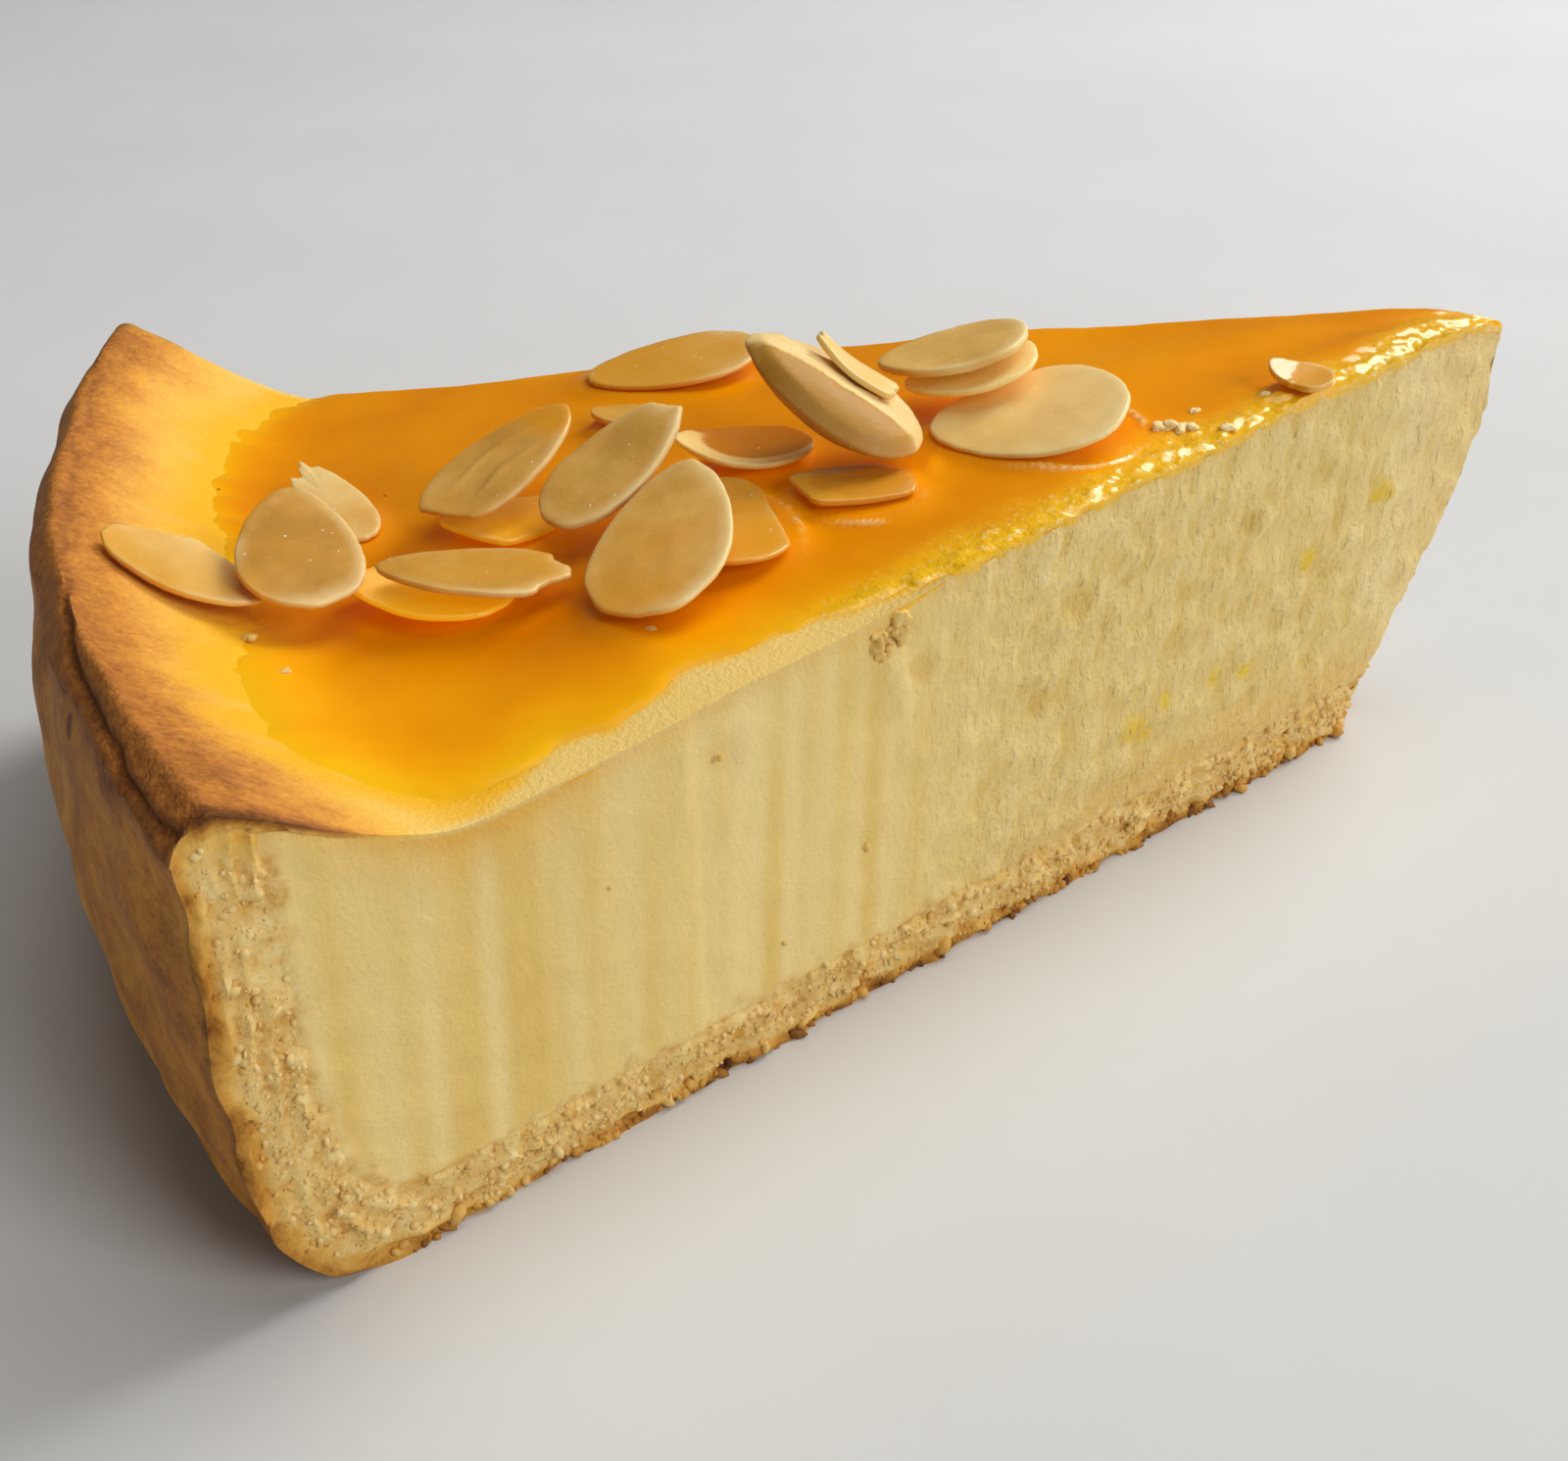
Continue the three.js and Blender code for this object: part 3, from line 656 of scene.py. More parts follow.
def crumb_relief(flat, depth, w):
    """Relief of a cut in mm, and how much darker its holes and gaps are painted, as painted shade."""
    near, label = grains(flat, GRAIN, 61)
    fine = grains(flat, FINE_GRAIN, 67)[0]
    holes = smooth((HOLE_SHARE - label) / 0.02) * smooth(1.25 - near * 1.7)
    relief = 0.45 * (0.42 - near) + 0.3 * (0.4 - fine) + 0.3 * noise(flat, 3.4, 71) - 0.7 * holes
    relief = relief * smooth((w + 0.02) / 0.12) * smooth((depth + 0.3) / 2)
    sinks = 0.7 * smooth((w - 0.86) / 0.14)
    return relief + 0.1 - sinks, 0.3 * holes + 0.1 * smooth((near - 0.5) / 0.3)


def cut_browning(flat, place, z, w, depth, rim_bake, darker):
    """How brown a cut is: a border along the wall and the foot, the rim, and some chunks low down."""
    border = smooth(1.35 - w * 5.5 / np.maximum(0.9, 1.7 + 1.1 * noise(flat, 2.8, 53)))
    warm = 0.50 + 0.2 * smooth(1 - w * 5.5 / 1.0) + 0.2 * noise(flat, 1.8, 55)
    burnt_top = smooth(1.2 - depth / (1.3 + 0.5 * noise(flat, 3, 54))) * (place < 3)
    # The holes and gaps are painted darker through the browning, as painted shade.
    bake = np.maximum(border * warm, burnt_top * np.maximum(rim_bake, 0.6)) + darker
    low = smooth(1.15 - z / (1.5 + 1.0 * noise(flat, 4, 83)))
    foot = low * (0.46 + 0.3 * noise(flat, 1.5, 89))
    chunk = smooth(noise(flat, 3.0, 91) * 3 - 1.6) * smooth((5 - z) / 2) * 0.5
    return np.maximum(np.maximum(bake, foot), chunk), low


def make_crust():
    numbers, quads = lattice(*CRUST_CELLS)
    u, v, w = (numbers / CRUST_CELLS).T
    i, j, k = numbers.T
    s = mix(-1, 1, v)
    place = u * ENTRIES
    on_rim = i == 0
    at_cut = ((j == 0) | (j == CRUST_CELLS[1])).astype(float)
    r, z = crust_section(place, s, w, on_rim)
    flat = arc_points(r, s, z)
    outward, down = crumb_spread(flat, place, w)
    r, z = r + outward * at_cut, z - down * at_cut
    depth = top_height(r, s) - z
    swell = 0.35 * uneven(place * 2.1 + 4 * w, 4 * w * 1.7) * ~on_rim
    relief, darker = crumb_relief(flat, depth, w)
    points = wedge_point(r, s, z, (swell + relief) * at_cut)
    normals = normals_of(points, quads)
    rim_bake, rim_relief = rim_skin(r, s)
    wall_relief = 0.2 * layered(flat, 4.0, 73, layers=2)
    relief = np.where(on_rim, rim_relief, wall_relief * (k == 0))
    normals[on_rim & (w > 0.4)] = (0, 0, 1)
    points = points + normals * (relief * (1 - at_cut))[:, None]
    bake = np.where(on_rim, rim_bake, wall_bake(r, s, z, flat) + 0.2 * smooth(1 - (39 - z) / 3))
    cut_bake, low = cut_browning(flat, place, z, w, depth, rim_bake, darker)
    crumb = smooth((1.02 - w) / 0.1 + 0.8 * noise(flat, 1.2, 57)) * smooth((depth - 1) / 3)
    bleed = 0.75 * smooth(1 - (depth - 0.5) / 3.5)
    patchy = smooth(0.6 + noise(flat, 4, 59) + smooth((12 - z) / 8))
    strewn = crumb * smooth((w - 0.12) / 0.2) * smooth((0.95 - w) / 0.1) * mix(0.15, 1, patchy)
    return make_piece("shortcrust_case", points, quads.tolist(), PASTRY, "crust", "crust",
                      bake=mix(bake, cut_bake, at_cut), crumb=crumb * at_cut, cut=at_cut,
                      bleed=bleed * at_cut, strewn=strewn * at_cut, foot=low * at_cut * (place > 9),
                      torn=0.2 * (1 - at_cut))


crust = make_crust()

# %% [markdown]
# ## Crumbs
#
# A knife leaves loose crumbs all over cut pastry. They are too many to place by hand, so a small node
# tree strews them: it puts points on the cut where a mask allows, sets a lump of twenty faces on
# each, turns and stretches it at random, and roughens the lot. The crumbs inherit the browning of the
# place where they lie.

# %% The crumb tree
def crumb_tree():
    tree = bpy.data.node_groups.new("strew_crumbs", "GeometryNodeTree")
    for name, kind in (("Geometry", "Geometry"), ("Mask", "String"), ("Crumbs per square metre", "Float"),
                       ("Radius", "Float"), ("Seed", "Int"), ("Material", "Material")):
        tree.interface.new_socket(name, in_out="INPUT", socket_type="NodeSocket" + kind)
    tree.interface.new_socket("Geometry", in_out="OUTPUT", socket_type="NodeSocketGeometry")
    given = tree.nodes.new("NodeGroupInput").outputs

    def add(kind, settings=None, inputs=None, output=0):
        node = tree.nodes.new(kind)
        for key, value in (settings or {}).items():
            setattr(node, key, value)
        for key, value in (inputs or {}).items():
            if isinstance(value, bpy.types.NodeSocket):
                tree.links.new(value, node.inputs[key])
            else:
                node.inputs[key].default_value = value
        return node.outputs[output]

    def product(a, b):
        return add("ShaderNodeMath", {"operation": "MULTIPLY"}, {0: a, 1: b})

    mask = add("GeometryNodeInputNamedAttribute", {"data_type": "FLOAT"}, {"Name": given["Mask"]})
    density = product(mask, given["Crumbs per square metre"])
    points = add("GeometryNodeDistributePointsOnFaces", None,
                 {"Mesh": given["Geometry"], "Density": density, "Seed": given["Seed"]})
    lump = add("GeometryNodeMeshIcoSphere", None, {"Radius": given["Radius"], "Subdivisions": 1})
    angles = add("FunctionNodeRandomValue", {"data_type": "FLOAT_VECTOR"},
                 {0: (0, 0, 0), 1: (6.28, 6.28, 6.28), "Seed": given["Seed"]})
    turn = add("FunctionNodeEulerToRotation", None, {0: angles})
    stretch = add("FunctionNodeRandomValue", {"data_type": "FLOAT_VECTOR"},
                  {0: (0.5, 0.5, 0.5), 1: (1.5, 1.5, 1.5), "Seed": 5})
    size = add("FunctionNodeRandomValue", {"data_type": "FLOAT"}, {2: 0.0, 3: 1.0, "Seed": 7}, 1)
    size = add("ShaderNodeMath", {"operation": "POWER"}, {0: size, 1: 3.0})
    size = add("ShaderNodeMath", {"operation": "MULTIPLY_ADD"}, {0: size, 1: 1.5, 2: 0.5})
    scale = add("ShaderNodeVectorMath", {"operation": "SCALE"}, {0: stretch, "Scale": size})
    strewn = add("GeometryNodeInstanceOnPoints", None,
                 {"Points": points, "Instance": lump, "Rotation": turn, "Scale": scale})
    tint = add("FunctionNodeRandomValue", {"data_type": "FLOAT"}, {2: 0.0, 3: 1.0, "Seed": 11}, 1)
    strewn = add("GeometryNodeStoreNamedAttribute", {"data_type": "FLOAT", "domain": "INSTANCE"},
                 {"Geometry": strewn, "Name": "tint", "Value": tint})
    real = add("GeometryNodeRealizeInstances", None, {"Geometry": strewn})
    wobble = add("ShaderNodeTexNoise", None, {"Scale": 1 / (0.5 * MM), "Detail": 0.0}, 1)
    wobble = add("ShaderNodeVectorMath", {"operation": "SUBTRACT"}, {0: wobble, 1: (0.5, 0.5, 0.5)})
    wobble = add("ShaderNodeVectorMath", {"operation": "SCALE"}, {0: wobble, "Scale": 0.2 * MM})
    rough = add("GeometryNodeSetPosition", None, {"Geometry": real, "Offset": wobble})
    done = add("GeometryNodeSetMaterial", None, {"Geometry": rough, "Material": given["Material"]})
    tree.links.new(done, tree.nodes.new("NodeGroupOutput").inputs["Geometry"])
    return tree


CRUMB_TREE = crumb_tree()


# %% Strew the crumbs
CRUMBS_PER_SQUARE_METRE = 2.6e6
CRUMB_RADIUS = 0.2
TOASTED_PER_SQUARE_METRE = 2.2e6
TOASTED_RADIUS = 0.36


def strew(name, ground, slot, **inputs):
    """A plain mesh of crumbs on the ground piece, kept inside the solids' box."""
    carrier = bpy.data.objects.new(name, ground.data)
    bpy.context.scene.collection.objects.link(carrier)
    modifier = carrier.modifiers.new("strew", "NODES")
    modifier.node_group = CRUMB_TREE
    sockets = {item.name: item.identifier for item in CRUMB_TREE.interface.items_tree
               if item.in_out == "INPUT"}
    for key, value in inputs.items():
        modifier[sockets[key.replace("_", " ")]] = value
    graph = bpy.context.evaluated_depsgraph_get()
    mesh = bpy.data.meshes.new_from_object(carrier.evaluated_get(graph), depsgraph=graph)
    bpy.data.objects.remove(carrier)
    places = np.empty(len(mesh.vertices) * 3, np.float32)
    mesh.vertices.foreach_get("co", places)
    mesh.vertices.foreach_set("co", inside_box(places.reshape(-1, 3)).ravel().astype(np.float32))
    shade_smooth(mesh)
    return add_piece(name, mesh)


strew("pastry_crumbs", crust, "crust", Mask="strewn", Crumbs_per_square_metre=CRUMBS_PER_SQUARE_METRE,
      Radius=CRUMB_RADIUS * MM, Seed=3, Material=CRUMB)
strew("toasted_crumbs", crust, "crust", Mask="foot", Crumbs_per_square_metre=TOASTED_PER_SQUARE_METRE,
      Radius=TOASTED_RADIUS * MM, Seed=8, Material=CRUMB)

# %% [markdown]
# ## The cheese filling
#
# The filling fills the crust, and its top shows between the brown rim and the glaze. On the real slice a
# thin knife left two kinds of cut: clean with faint upright streaks near the crust, and torn and pitted
# toward the tip, where the cheese stuck to the blade. Both are functions of the place on the cut, so one
# relief makes them and fades between them.

# %% The glaze's extent
def inside_glaze(r, s):
    """Distance inward from the glaze's edge in mm, negative outside of the glaze."""
    near_side = (s + 1) * HALF_ANGLE * r - through(GLAZE_NEAR_STRIP, r)
    return np.minimum(through(GLAZE_RIM_EDGE, s) - r, near_side)


def ragged_inside(r, s):
    """The same with the soft, uneven edge that the glaze really has."""
    flat = arc_points(r, s, 0 * r)
    along_arc = unrolled(r, s, 118)
    feather = 0.35 * noise(along_arc, (3, 0.8, 9), 13) + 0.5 * noise(along_arc, (4, 2, 9), 14)
    feather = feather * smooth((r - 108) / 6)
    bare = 0.7 * smooth((r - 76) / 8) * smooth((110 - r) / 5)
    return inside_glaze(r, s) - bare + 0.8 * noise(flat, 5.5, 11) + 0.35 * noise(flat, 1.7, 12) + feather


GLAZE_SINKS = 0.4


def cheese_top(r, s):
    """The filling's own top: it gives way under the glaze, and dips under the rim of the crust."""
    under_rim = 0.5 * smooth((r - rim_joint(s) - 0.35) / 0.7)
    return top_height(r, s) - GLAZE_SINKS * smooth(ragged_inside(r, s) / 2.5) - under_rim


# %% The marks on the cuts
KNIFE_STEP_RADIUS = 95.6
# The marks lean by this much for each millimetre up.
KNIFE_LEAN = 0.05
# Bits of lemon peel in the near cut: distance from the axis, height, radius.
ZEST = [(27.2, 21.9, 1.3), (49.5, 12.9, 1.6), (45.3, 14.2, 1.2), (38.8, 14.2, 1.3), (34.6, 13.1, 1.0),
        (17.3, 25.6, 1.5), (47.5, 11.6, 1.0)]
# Hollows in the near cut: distance from the axis, height, radius, depth. The last three stand out.
PITS = [(56.9, 27.4, 1.3, 0.6), (93.2, 28.2, 1.6, 0.45), (76.5, 31.6, 1.7, 0.5), (79.0, 26, 1.2, 0.3),
        (61, 20, 1.2, 0.4), (43, 24, 1.0, 0.4), (36, 28, 1.1, 0.4), (74.3, 28.5, 1.2, 0.4),
        (76.9, 30.4, 1.2, -0.5), (76.3, 27.8, 1.0, -0.45), (76.0, 25.6, 0.8, -0.35)]


def drag_relief(r, z, side):
    """How far the knife-cut cheese stands out, in mm. side is -1 or 1, for the near or the far cut."""
    at = np.stack([r + KNIFE_LEAN * z, z, 40 * side], axis=1)
    torn = smooth((84 - r) / 22)
    streaks = 0.09 * noise(at, (2.4, 90, 9), 108) + 0.05 * noise(at, (0.9, 45, 9), 110)
    past = r - KNIFE_STEP_RADIUS
    step = np.where(past > 0, smooth(1 - past / 9), -smooth(1 + past / 12))
    streaks = streaks + 0.11 * step * smooth((z - 2) / 4) * (side < 0)
    drags = 0.20 * noise(at, (1.2, 5.0, 9), 114) + 0.26 * noise(at, (0.8, 2.0, 9), 116)
    grain = 0.22 * noise(at, (0.6, 0.8, 9), 120) + 0.16 * noise(at, (1.8, 2.2, 9), 134)
    calm_foot = mix(0.45, 1, smooth((z - 8) / 8))
    relief = streaks * (1 - 0.5 * torn) + (drags * calm_foot + grain) * torn + 0.35 * grain * (1 - torn)
    near, label = grains(at, (1.9, 2.8, 9), 138)
    holes = smooth((HOLE_SHARE - label) / 0.03) * smooth(1 - near / 0.32)
    relief = relief - 0.24 * holes * (0.25 + 0.75 * torn)
    for pit_r, pit_z, radius, depth in PITS:
        away = np.hypot(r - pit_r, z - pit_z) / radius + 0.25 * noise(at, 0.9, 137)
        relief = relief - depth * smooth(1.5 - away) * (side < 0)
    return relief, torn


# %% The filling's mesh
INSIDE_BY_HEIGHT = [[z, r] for r, z in CRUST_INSIDE]
CHEESE_CELLS = (262, 78, 70)
# The slow waves of the cuts were laid out on the solid's coarser lattice.
SOLID_CELLS = (40, 9)
OVERLAP = 1.0


def beside_crust(place):
    """Point on the crust's inner face, sunk into it by a little so that no gap shows."""
    here = along(INSIDE, place)
    ahead = along(INSIDE, np.minimum(place + 0.05, ENTRIES)) - along(INSIDE, np.maximum(place - 0.05, 0))
    ahead = ahead / np.linalg.norm(ahead, axis=1, keepdims=True)
    return here + OVERLAP * np.stack([-ahead[:, 1], ahead[:, 0]], axis=1)


def filling_section(u, w, s):
    """Radius and height in the filling's section, blended between the crust, the top and the tip."""
    one = np.ones_like(u)
    tip_radius = float(tip_setback(TIP_TOP_HEIGHT)) * one
    outer_low = beside_crust(INNER_CORNER * one)
    tip_low = beside_crust(ENTRIES * one)
    wall_top = beside_crust(0 * one)
    outer_high = np.stack([wall_top[:, 0], cheese_top(wall_top[:, 0], s)], axis=1)
    tip_high = np.stack([tip_radius, cheese_top(tip_radius, s)], axis=1)
    top_radius = mix(wall_top[:, 0], tip_radius, u)
    top = np.stack([top_radius, cheese_top(top_radius, s)], axis=1)
    bottom = beside_crust(mix(INNER_CORNER, ENTRIES, u))
    outer = beside_crust(mix(INNER_CORNER, 0, w))
    outer[:, 1] += (outer_high[:, 1] - wall_top[:, 1]) * w
    tip_z = mix(tip_low[:, 1], tip_high[:, 1], w)
    tip = np.where((w == 0)[:, None], tip_low, np.stack([tip_setback(tip_z), tip_z], axis=1))
    u, w = u[:, None], w[:, None]
    corners = mix(mix(outer_low, outer_high, w), mix(tip_low, tip_high, w), u)
    return mix(bottom, top, w) + mix(outer, tip, u) - corners


def cheese_marks(r, z, flat, torn, relief, depth):
    """Streaks, with a painted highlight on the peaks of torn cheese, painted shade in the pits, and the
    orange bleed of the glaze on the cut cheese, each from 0 to 1.
    """
    streak = 0.35 + 0.5 * noise(np.stack([r + KNIFE_LEAN * z, z, 0 * r], axis=1), (1.6, 60, 9), 163)
    # Painted light: on torn cheese the peaks of the relief are painted paler, as a highlight, and the pits
    # darker, as shade.
    streak = streak * (1 - torn) + torn * (0.45 + 1.3 * relief) + 0.7 * smooth((22 - r) / 12)
    hollow = np.clip(-0.9 * relief, 0, 1) * (0.4 + 0.6 * torn)
    bleed = 0.55 * smooth(1 - (depth - 0.3) / 5.5) * smooth(1 - np.abs(r - 112) / 16)
    bleed = bleed + 0.3 * smooth(1 - depth / 2.2) + 0.2 * smooth((16 - r) / 9)
    bleed = bleed + 0.3 * smooth((12 - z) / 6) * smooth((70 - r) / 25)
    return {"streak": np.clip(streak, 0, 1), "hollow": hollow, "bleed": np.clip(bleed, 0, 1)}


def zest_mask(r, z, flat):
    zest = np.zeros_like(r)
    for zest_r, zest_z, radius in ZEST:
        away = np.hypot(r - zest_r, z - zest_z) / radius + 0.5 * noise(flat, 1.0, 167)
        zest = np.maximum(zest, smooth(1.3 - away))
    return 0.85 * zest


def glaze_stain(r, s, flat):
    """Where the glaze has stained the skin around its edge, in streaks toward the rim."""
    fades_over = mix(0.9, 6, smooth((r - 108) / 5))
    radial = 0.5 * noise(unrolled(r, s, 118), (6, 0.9, 9), 169)
    patches = smooth(noise(flat, (4, 2.6, 9), 171) * 2.4 - 0.1) * smooth((-0.2 - s) / 0.3)
    return smooth(1 + (ragged_inside(r, s) - 0.2 + radial) / fades_over) * (1 - 0.75 * patches)


def make_filling():
    numbers, quads = lattice(*CHEESE_CELLS)
    u, v, w = (numbers / CHEESE_CELLS).T
    i, j, k = numbers.T
    s = mix(-1, 1, v)
    r, z = filling_section(u, w, s).T
    flat = arc_points(r, s, z)
    depth = top_height(r, s) - z
    at_cut = (j == 0) | (j == CHEESE_CELLS[1])
    relief, torn = drag_relief(r, z, np.where(j == 0, -1.0, 1.0))
    relief = relief * (0.35 + 0.65 * smooth(depth / 1.5))
    across, up = u * SOLID_CELLS[0], w * SOLID_CELLS[1]
    slow = 0.25 * mix(0.15, 1, smooth((80 - r) / 20)) * uneven(across * 0.9, up * 1.6)
    slow = slow * smooth(across) * smooth(SOLID_CELLS[0] - across) * smooth(up) * smooth(SOLID_CELLS[1] - up)
    to_crust = np.minimum(through(sorted(INSIDE_BY_HEIGHT), z) - r, z - BASE_THICKNESS)
    dips = 0.6 * smooth((0.3 - to_crust) / 1.3) * (r < 129)
    points = wedge_point(r, s, z, np.where(at_cut, relief + slow - dips, 0))
    normals = normals_of(points, quads)
    on_top = (k == CHEESE_CELLS[2]) & ~at_cut
    at_tip = (i == CHEESE_CELLS[0]) & ~at_cut
    normals[on_top] = (0, 0, 1)
    bake, skin_relief = rim_skin(r, s)
    tip_relief = 0.25 * noise(flat, (1.2, 1.2, 3.5), 151)
    points = points + normals * (skin_relief * on_top + tip_relief * at_tip)[:, None]
    cut = (at_cut | at_tip | (k == 0)).astype(float) * smooth(depth / 0.5)
    browned = smooth(1 - depth / (0.5 + 0.05 * np.maximum(r - 112, 0))) * smooth((r - 110) / 8)
    crumb = smooth(0.9 - to_crust / 1.3 + 0.9 * noise(flat, 1.3, 165)) * smooth(depth / 3)
    marks = cheese_marks(r, z, flat, torn, relief, depth)
    return make_piece("cheese_filling", points, quads.tolist(), CHEESE, "filling", "filling",
                      bake=np.where(cut > 0, bake * browned, bake), cut=cut,
                      stain=glaze_stain(r, s, flat) * on_top, bleed=marks["bleed"], streak=marks["streak"],
                      zest=zest_mask(r, z, flat) * at_cut, crumb=crumb * at_cut,
                      hollow=marks["hollow"] * at_cut, torn=torn * at_cut)


make_filling()

# %% [markdown]
# ## The almond flakes
#
# A sliced almond is a thin saucer with an egg-shaped outline. Each flake here has the place, turn and size
# that its solid has, and one function makes them all, so that a flake is a line in a list. Fine rings of
# points give it a rounded edge, a wavy face and the chips that slicing leaves.
#
# The looks are numbers too. `tone` runs from cream to tan, and `amber` says how much glaze shines through,
# with more of it low down (`soaks`, `low_amber`) or toward the end (`tip_amber`). `glow` is painted light,
# which stands for light that comes through from behind, `pool` is for glaze on top of the flake, and `lip`
# for a raised edge of glaze beside it, with a painted glint. Each flake's pale rim is painted paler still
# on the side that faces the lamps, as a painted highlight.

# %% The list of flakes
# x, y: place from the cake's axis. lift: height over the glaze. heading, tilt, roll: its turn in degrees.
# cuts: direction and distance of a straight edge. chips: direction, half width in degrees, and depth.
# belly and ridge: extra thickness below and above, in mm. shaved: what is taken off above.
FLAKES = [
    dict(node="almond_on_rim", x=-120, y=-4.5, lift=1.9, heading=148, tilt=17, length=14.5, width=7.5,
        curl=0.8, tone=0.35, amber=0.05, cuts=[(225, 0.6)], chips=[(182, 10, 0.15)]),
    dict(node="almond_sliver_behind", x=-108, y=9.5, lift=1.7, heading=106, tilt=6, roll=-6, length=15,
        width=5, tone=0.0, amber=0.0, chips=[(18, 20, 0.3), (335, 9, 0.15)]),
    dict(node="almond_under_long", x=-103, y=-9, lift=1.5, heading=152, tilt=2, length=13.5, width=9.5,
        tone=0.1, amber=0.8, bands=0.5, glow=1.0),
    dict(node="almond_long_flat", x=-100, y=-11, lift=2.9, heading=162, tilt=4, length=15, width=7.5,
        tone=0.8, amber=0.45, chips=[(150, 18, 0.12), (205, 12, 0.1)]),
    dict(node="almond_round", x=-112, y=-5.5, lift=5.1, heading=86, tilt=18, roll=10, length=13.5,
        width=9.5, tone=0.92, amber=0.3, low_amber=0.9),
    dict(node="almond_under_pointed", x=-95, y=-0.5, lift=1.2, heading=12, length=12, width=8, tone=0.5,
        amber=0.6, glow=0.5, cuts=[(200, 0.7)]),
    dict(node="almond_pointed", x=-95, y=2.5, lift=4.7, heading=30, tilt=18, length=16.5, width=8.5,
        tone=0.72, amber=0.35, tip_amber=0.6, wrinkles=0.14, cuts=[(190, 0.82)]),
    dict(node="almond_beside_oval", x=-80, y=-10.5, lift=1.3, heading=76, tilt=2, length=15, width=10,
        tone=0.6, amber=0.95, lip=1, cuts=[(272, 0.74)]),
    dict(node="almond_big_oval", x=-86.2, y=-14.2, lift=3.3, heading=60, tilt=16, roll=-10, length=18,
        width=11, tone=0.55, amber=0.35, wrinkles=0.03),
    dict(node="almond_narrow", x=-87, y=-3.2, lift=5.2, heading=26, tilt=24, roll=8, length=15.5,
        width=7.5, tone=0.7, amber=0.05, shaved=0.1, cuts=[(8, 0.86)]),
    dict(node="almond_sunken", x=-69.6, y=-9.2, lift=1.2, heading=155, length=11, width=8, tone=0.2,
        amber=1.0, lip=1, pool=0.25, cuts=[(20, 0.75), (118, 0.62)]),
    dict(node="almond_curled", x=-75, y=1, lift=1.7, heading=160, tilt=4, length=12, width=8, curl=1.4,
        tone=0.1, amber=0.1, soaks=0.4, pool=1.0, glow=0.15),
    dict(node="almond_small_far", x=-82, y=14.5, lift=1.1, heading=150, length=5.5, width=4, tone=0.4,
        amber=0.5),
    dict(node="almond_long_far", x=-74.5, y=23.5, lift=1.5, heading=168, tilt=-8, roll=-2, length=17,
        width=11, tone=0.5, amber=0.3),
    dict(node="almond_large_flat", x=-52.5, y=-6, lift=2, heading=155, tilt=-11, roll=-9, length=17,
        width=13.5, tone=0.15, amber=0.0, soaks=0.35, lip=1),
    dict(node="almond_lower_pair", x=-54.5, y=1.5, lift=3.6, heading=162, tilt=-14, length=12, width=10,
        tone=0.0, amber=0.05, soaks=0.5, glow=0.25),
    dict(node="almond_upper_pair", x=-55.5, y=3, lift=5, heading=157, tilt=-13, length=13.5, width=10,
        tone=0.5, amber=0.05, shaved=0.1),
    dict(node="almond_thick", x=-68.5, y=-3, lift=6.2, heading=146, tilt=30, roll=-5, length=17,
        width=10.5, belly=2.2, tone=0.5, amber=0.0, ridge=1.6),
    dict(node="almond_sliver_on_top", x=-66, y=-2, lift=7.6, heading=142, tilt=34, roll=4, length=9,
        width=4, tone=0.3, amber=0.0, cuts=[(280, 0.5)], chips=[(180, 30, 0.25), (0, 14, 0.3)]),
    dict(node="almond_curled_bit", x=-28.5, y=-8.5, lift=1.4, heading=126, tilt=8, roll=-6, length=6,
        width=4.5, curl=0.8, tone=0.3, amber=0.3, chips=[(90, 25, 0.2)]),
]
HALF_THICKNESS = 0.65
THINS_BY = 0.26
EGG_TAPER = 0.24
SHAVED = 0.3


def turn_of(spec):
    """Rotation matrix of a flake."""
    heading, tilt, roll = (math.radians(spec.get(key, 0)) for key in ("heading", "tilt", "roll"))
    turn = Matrix.Rotation(heading, 3, "Z") @ Matrix.Rotation(-tilt, 3, "Y") @ Matrix.Rotation(roll, 3, "X")
    return np.array(turn)


def middle_of(spec):
    r, s = math.hypot(spec["x"], spec["y"]), math.atan2(spec["y"], -spec["x"]) / HALF_ANGLE
    return np.array([spec["x"], spec["y"], float(top_height(r, s)) + 0.25 + spec["lift"]])


def bend_of(spec, along_share, aside_share):
    return spec.get("curl", 0.4) * (along_share ** 2 + 0.5 * aside_share ** 2 - 0.4)


def underside(spec, share, along_share, aside_share):
    half = HALF_THICKNESS - THINS_BY * share ** 2
    return bend_of(spec, along_share, aside_share) - half - spec.get("belly", 0) * (1 - share ** 2)


# %% One flake
RIDGE_AT = 0.2


def ridge_of(along_share, aside_share, at):
    """The thick flake: a rounded back toward the viewer, a ridge, and two flat layers behind it."""
    wander = RIDGE_AT + 0.05 * noise(at, 3, 221)
    back = np.sqrt(np.clip(1 - ((aside_share - wander) / (1 - wander)) ** 2, 0, 1))
    layers = 1 - 0.13 * smooth((wander - aside_share) / 0.04)
    for ledge in (0.32, 0.62):
        torn_edge = wander - ledge + 0.09 * noise(at, 1.3, 225)
        layers = layers - 0.2 * smooth((torn_edge - aside_share) / 0.04)
    shape = np.where(aside_share > wander, back, layers)
    grooves = 0.05 * np.sin(aside_share * 17 + 2 * noise(at, 5, 223)) * (aside_share <= wander)
    return (shape + grooves) * np.sqrt(np.clip(1 - along_share ** 2, 0, 1))


SECTORS = 64
FACE_RINGS = 15
EDGE_RINGS = 5
EDGE_AT = 0.965


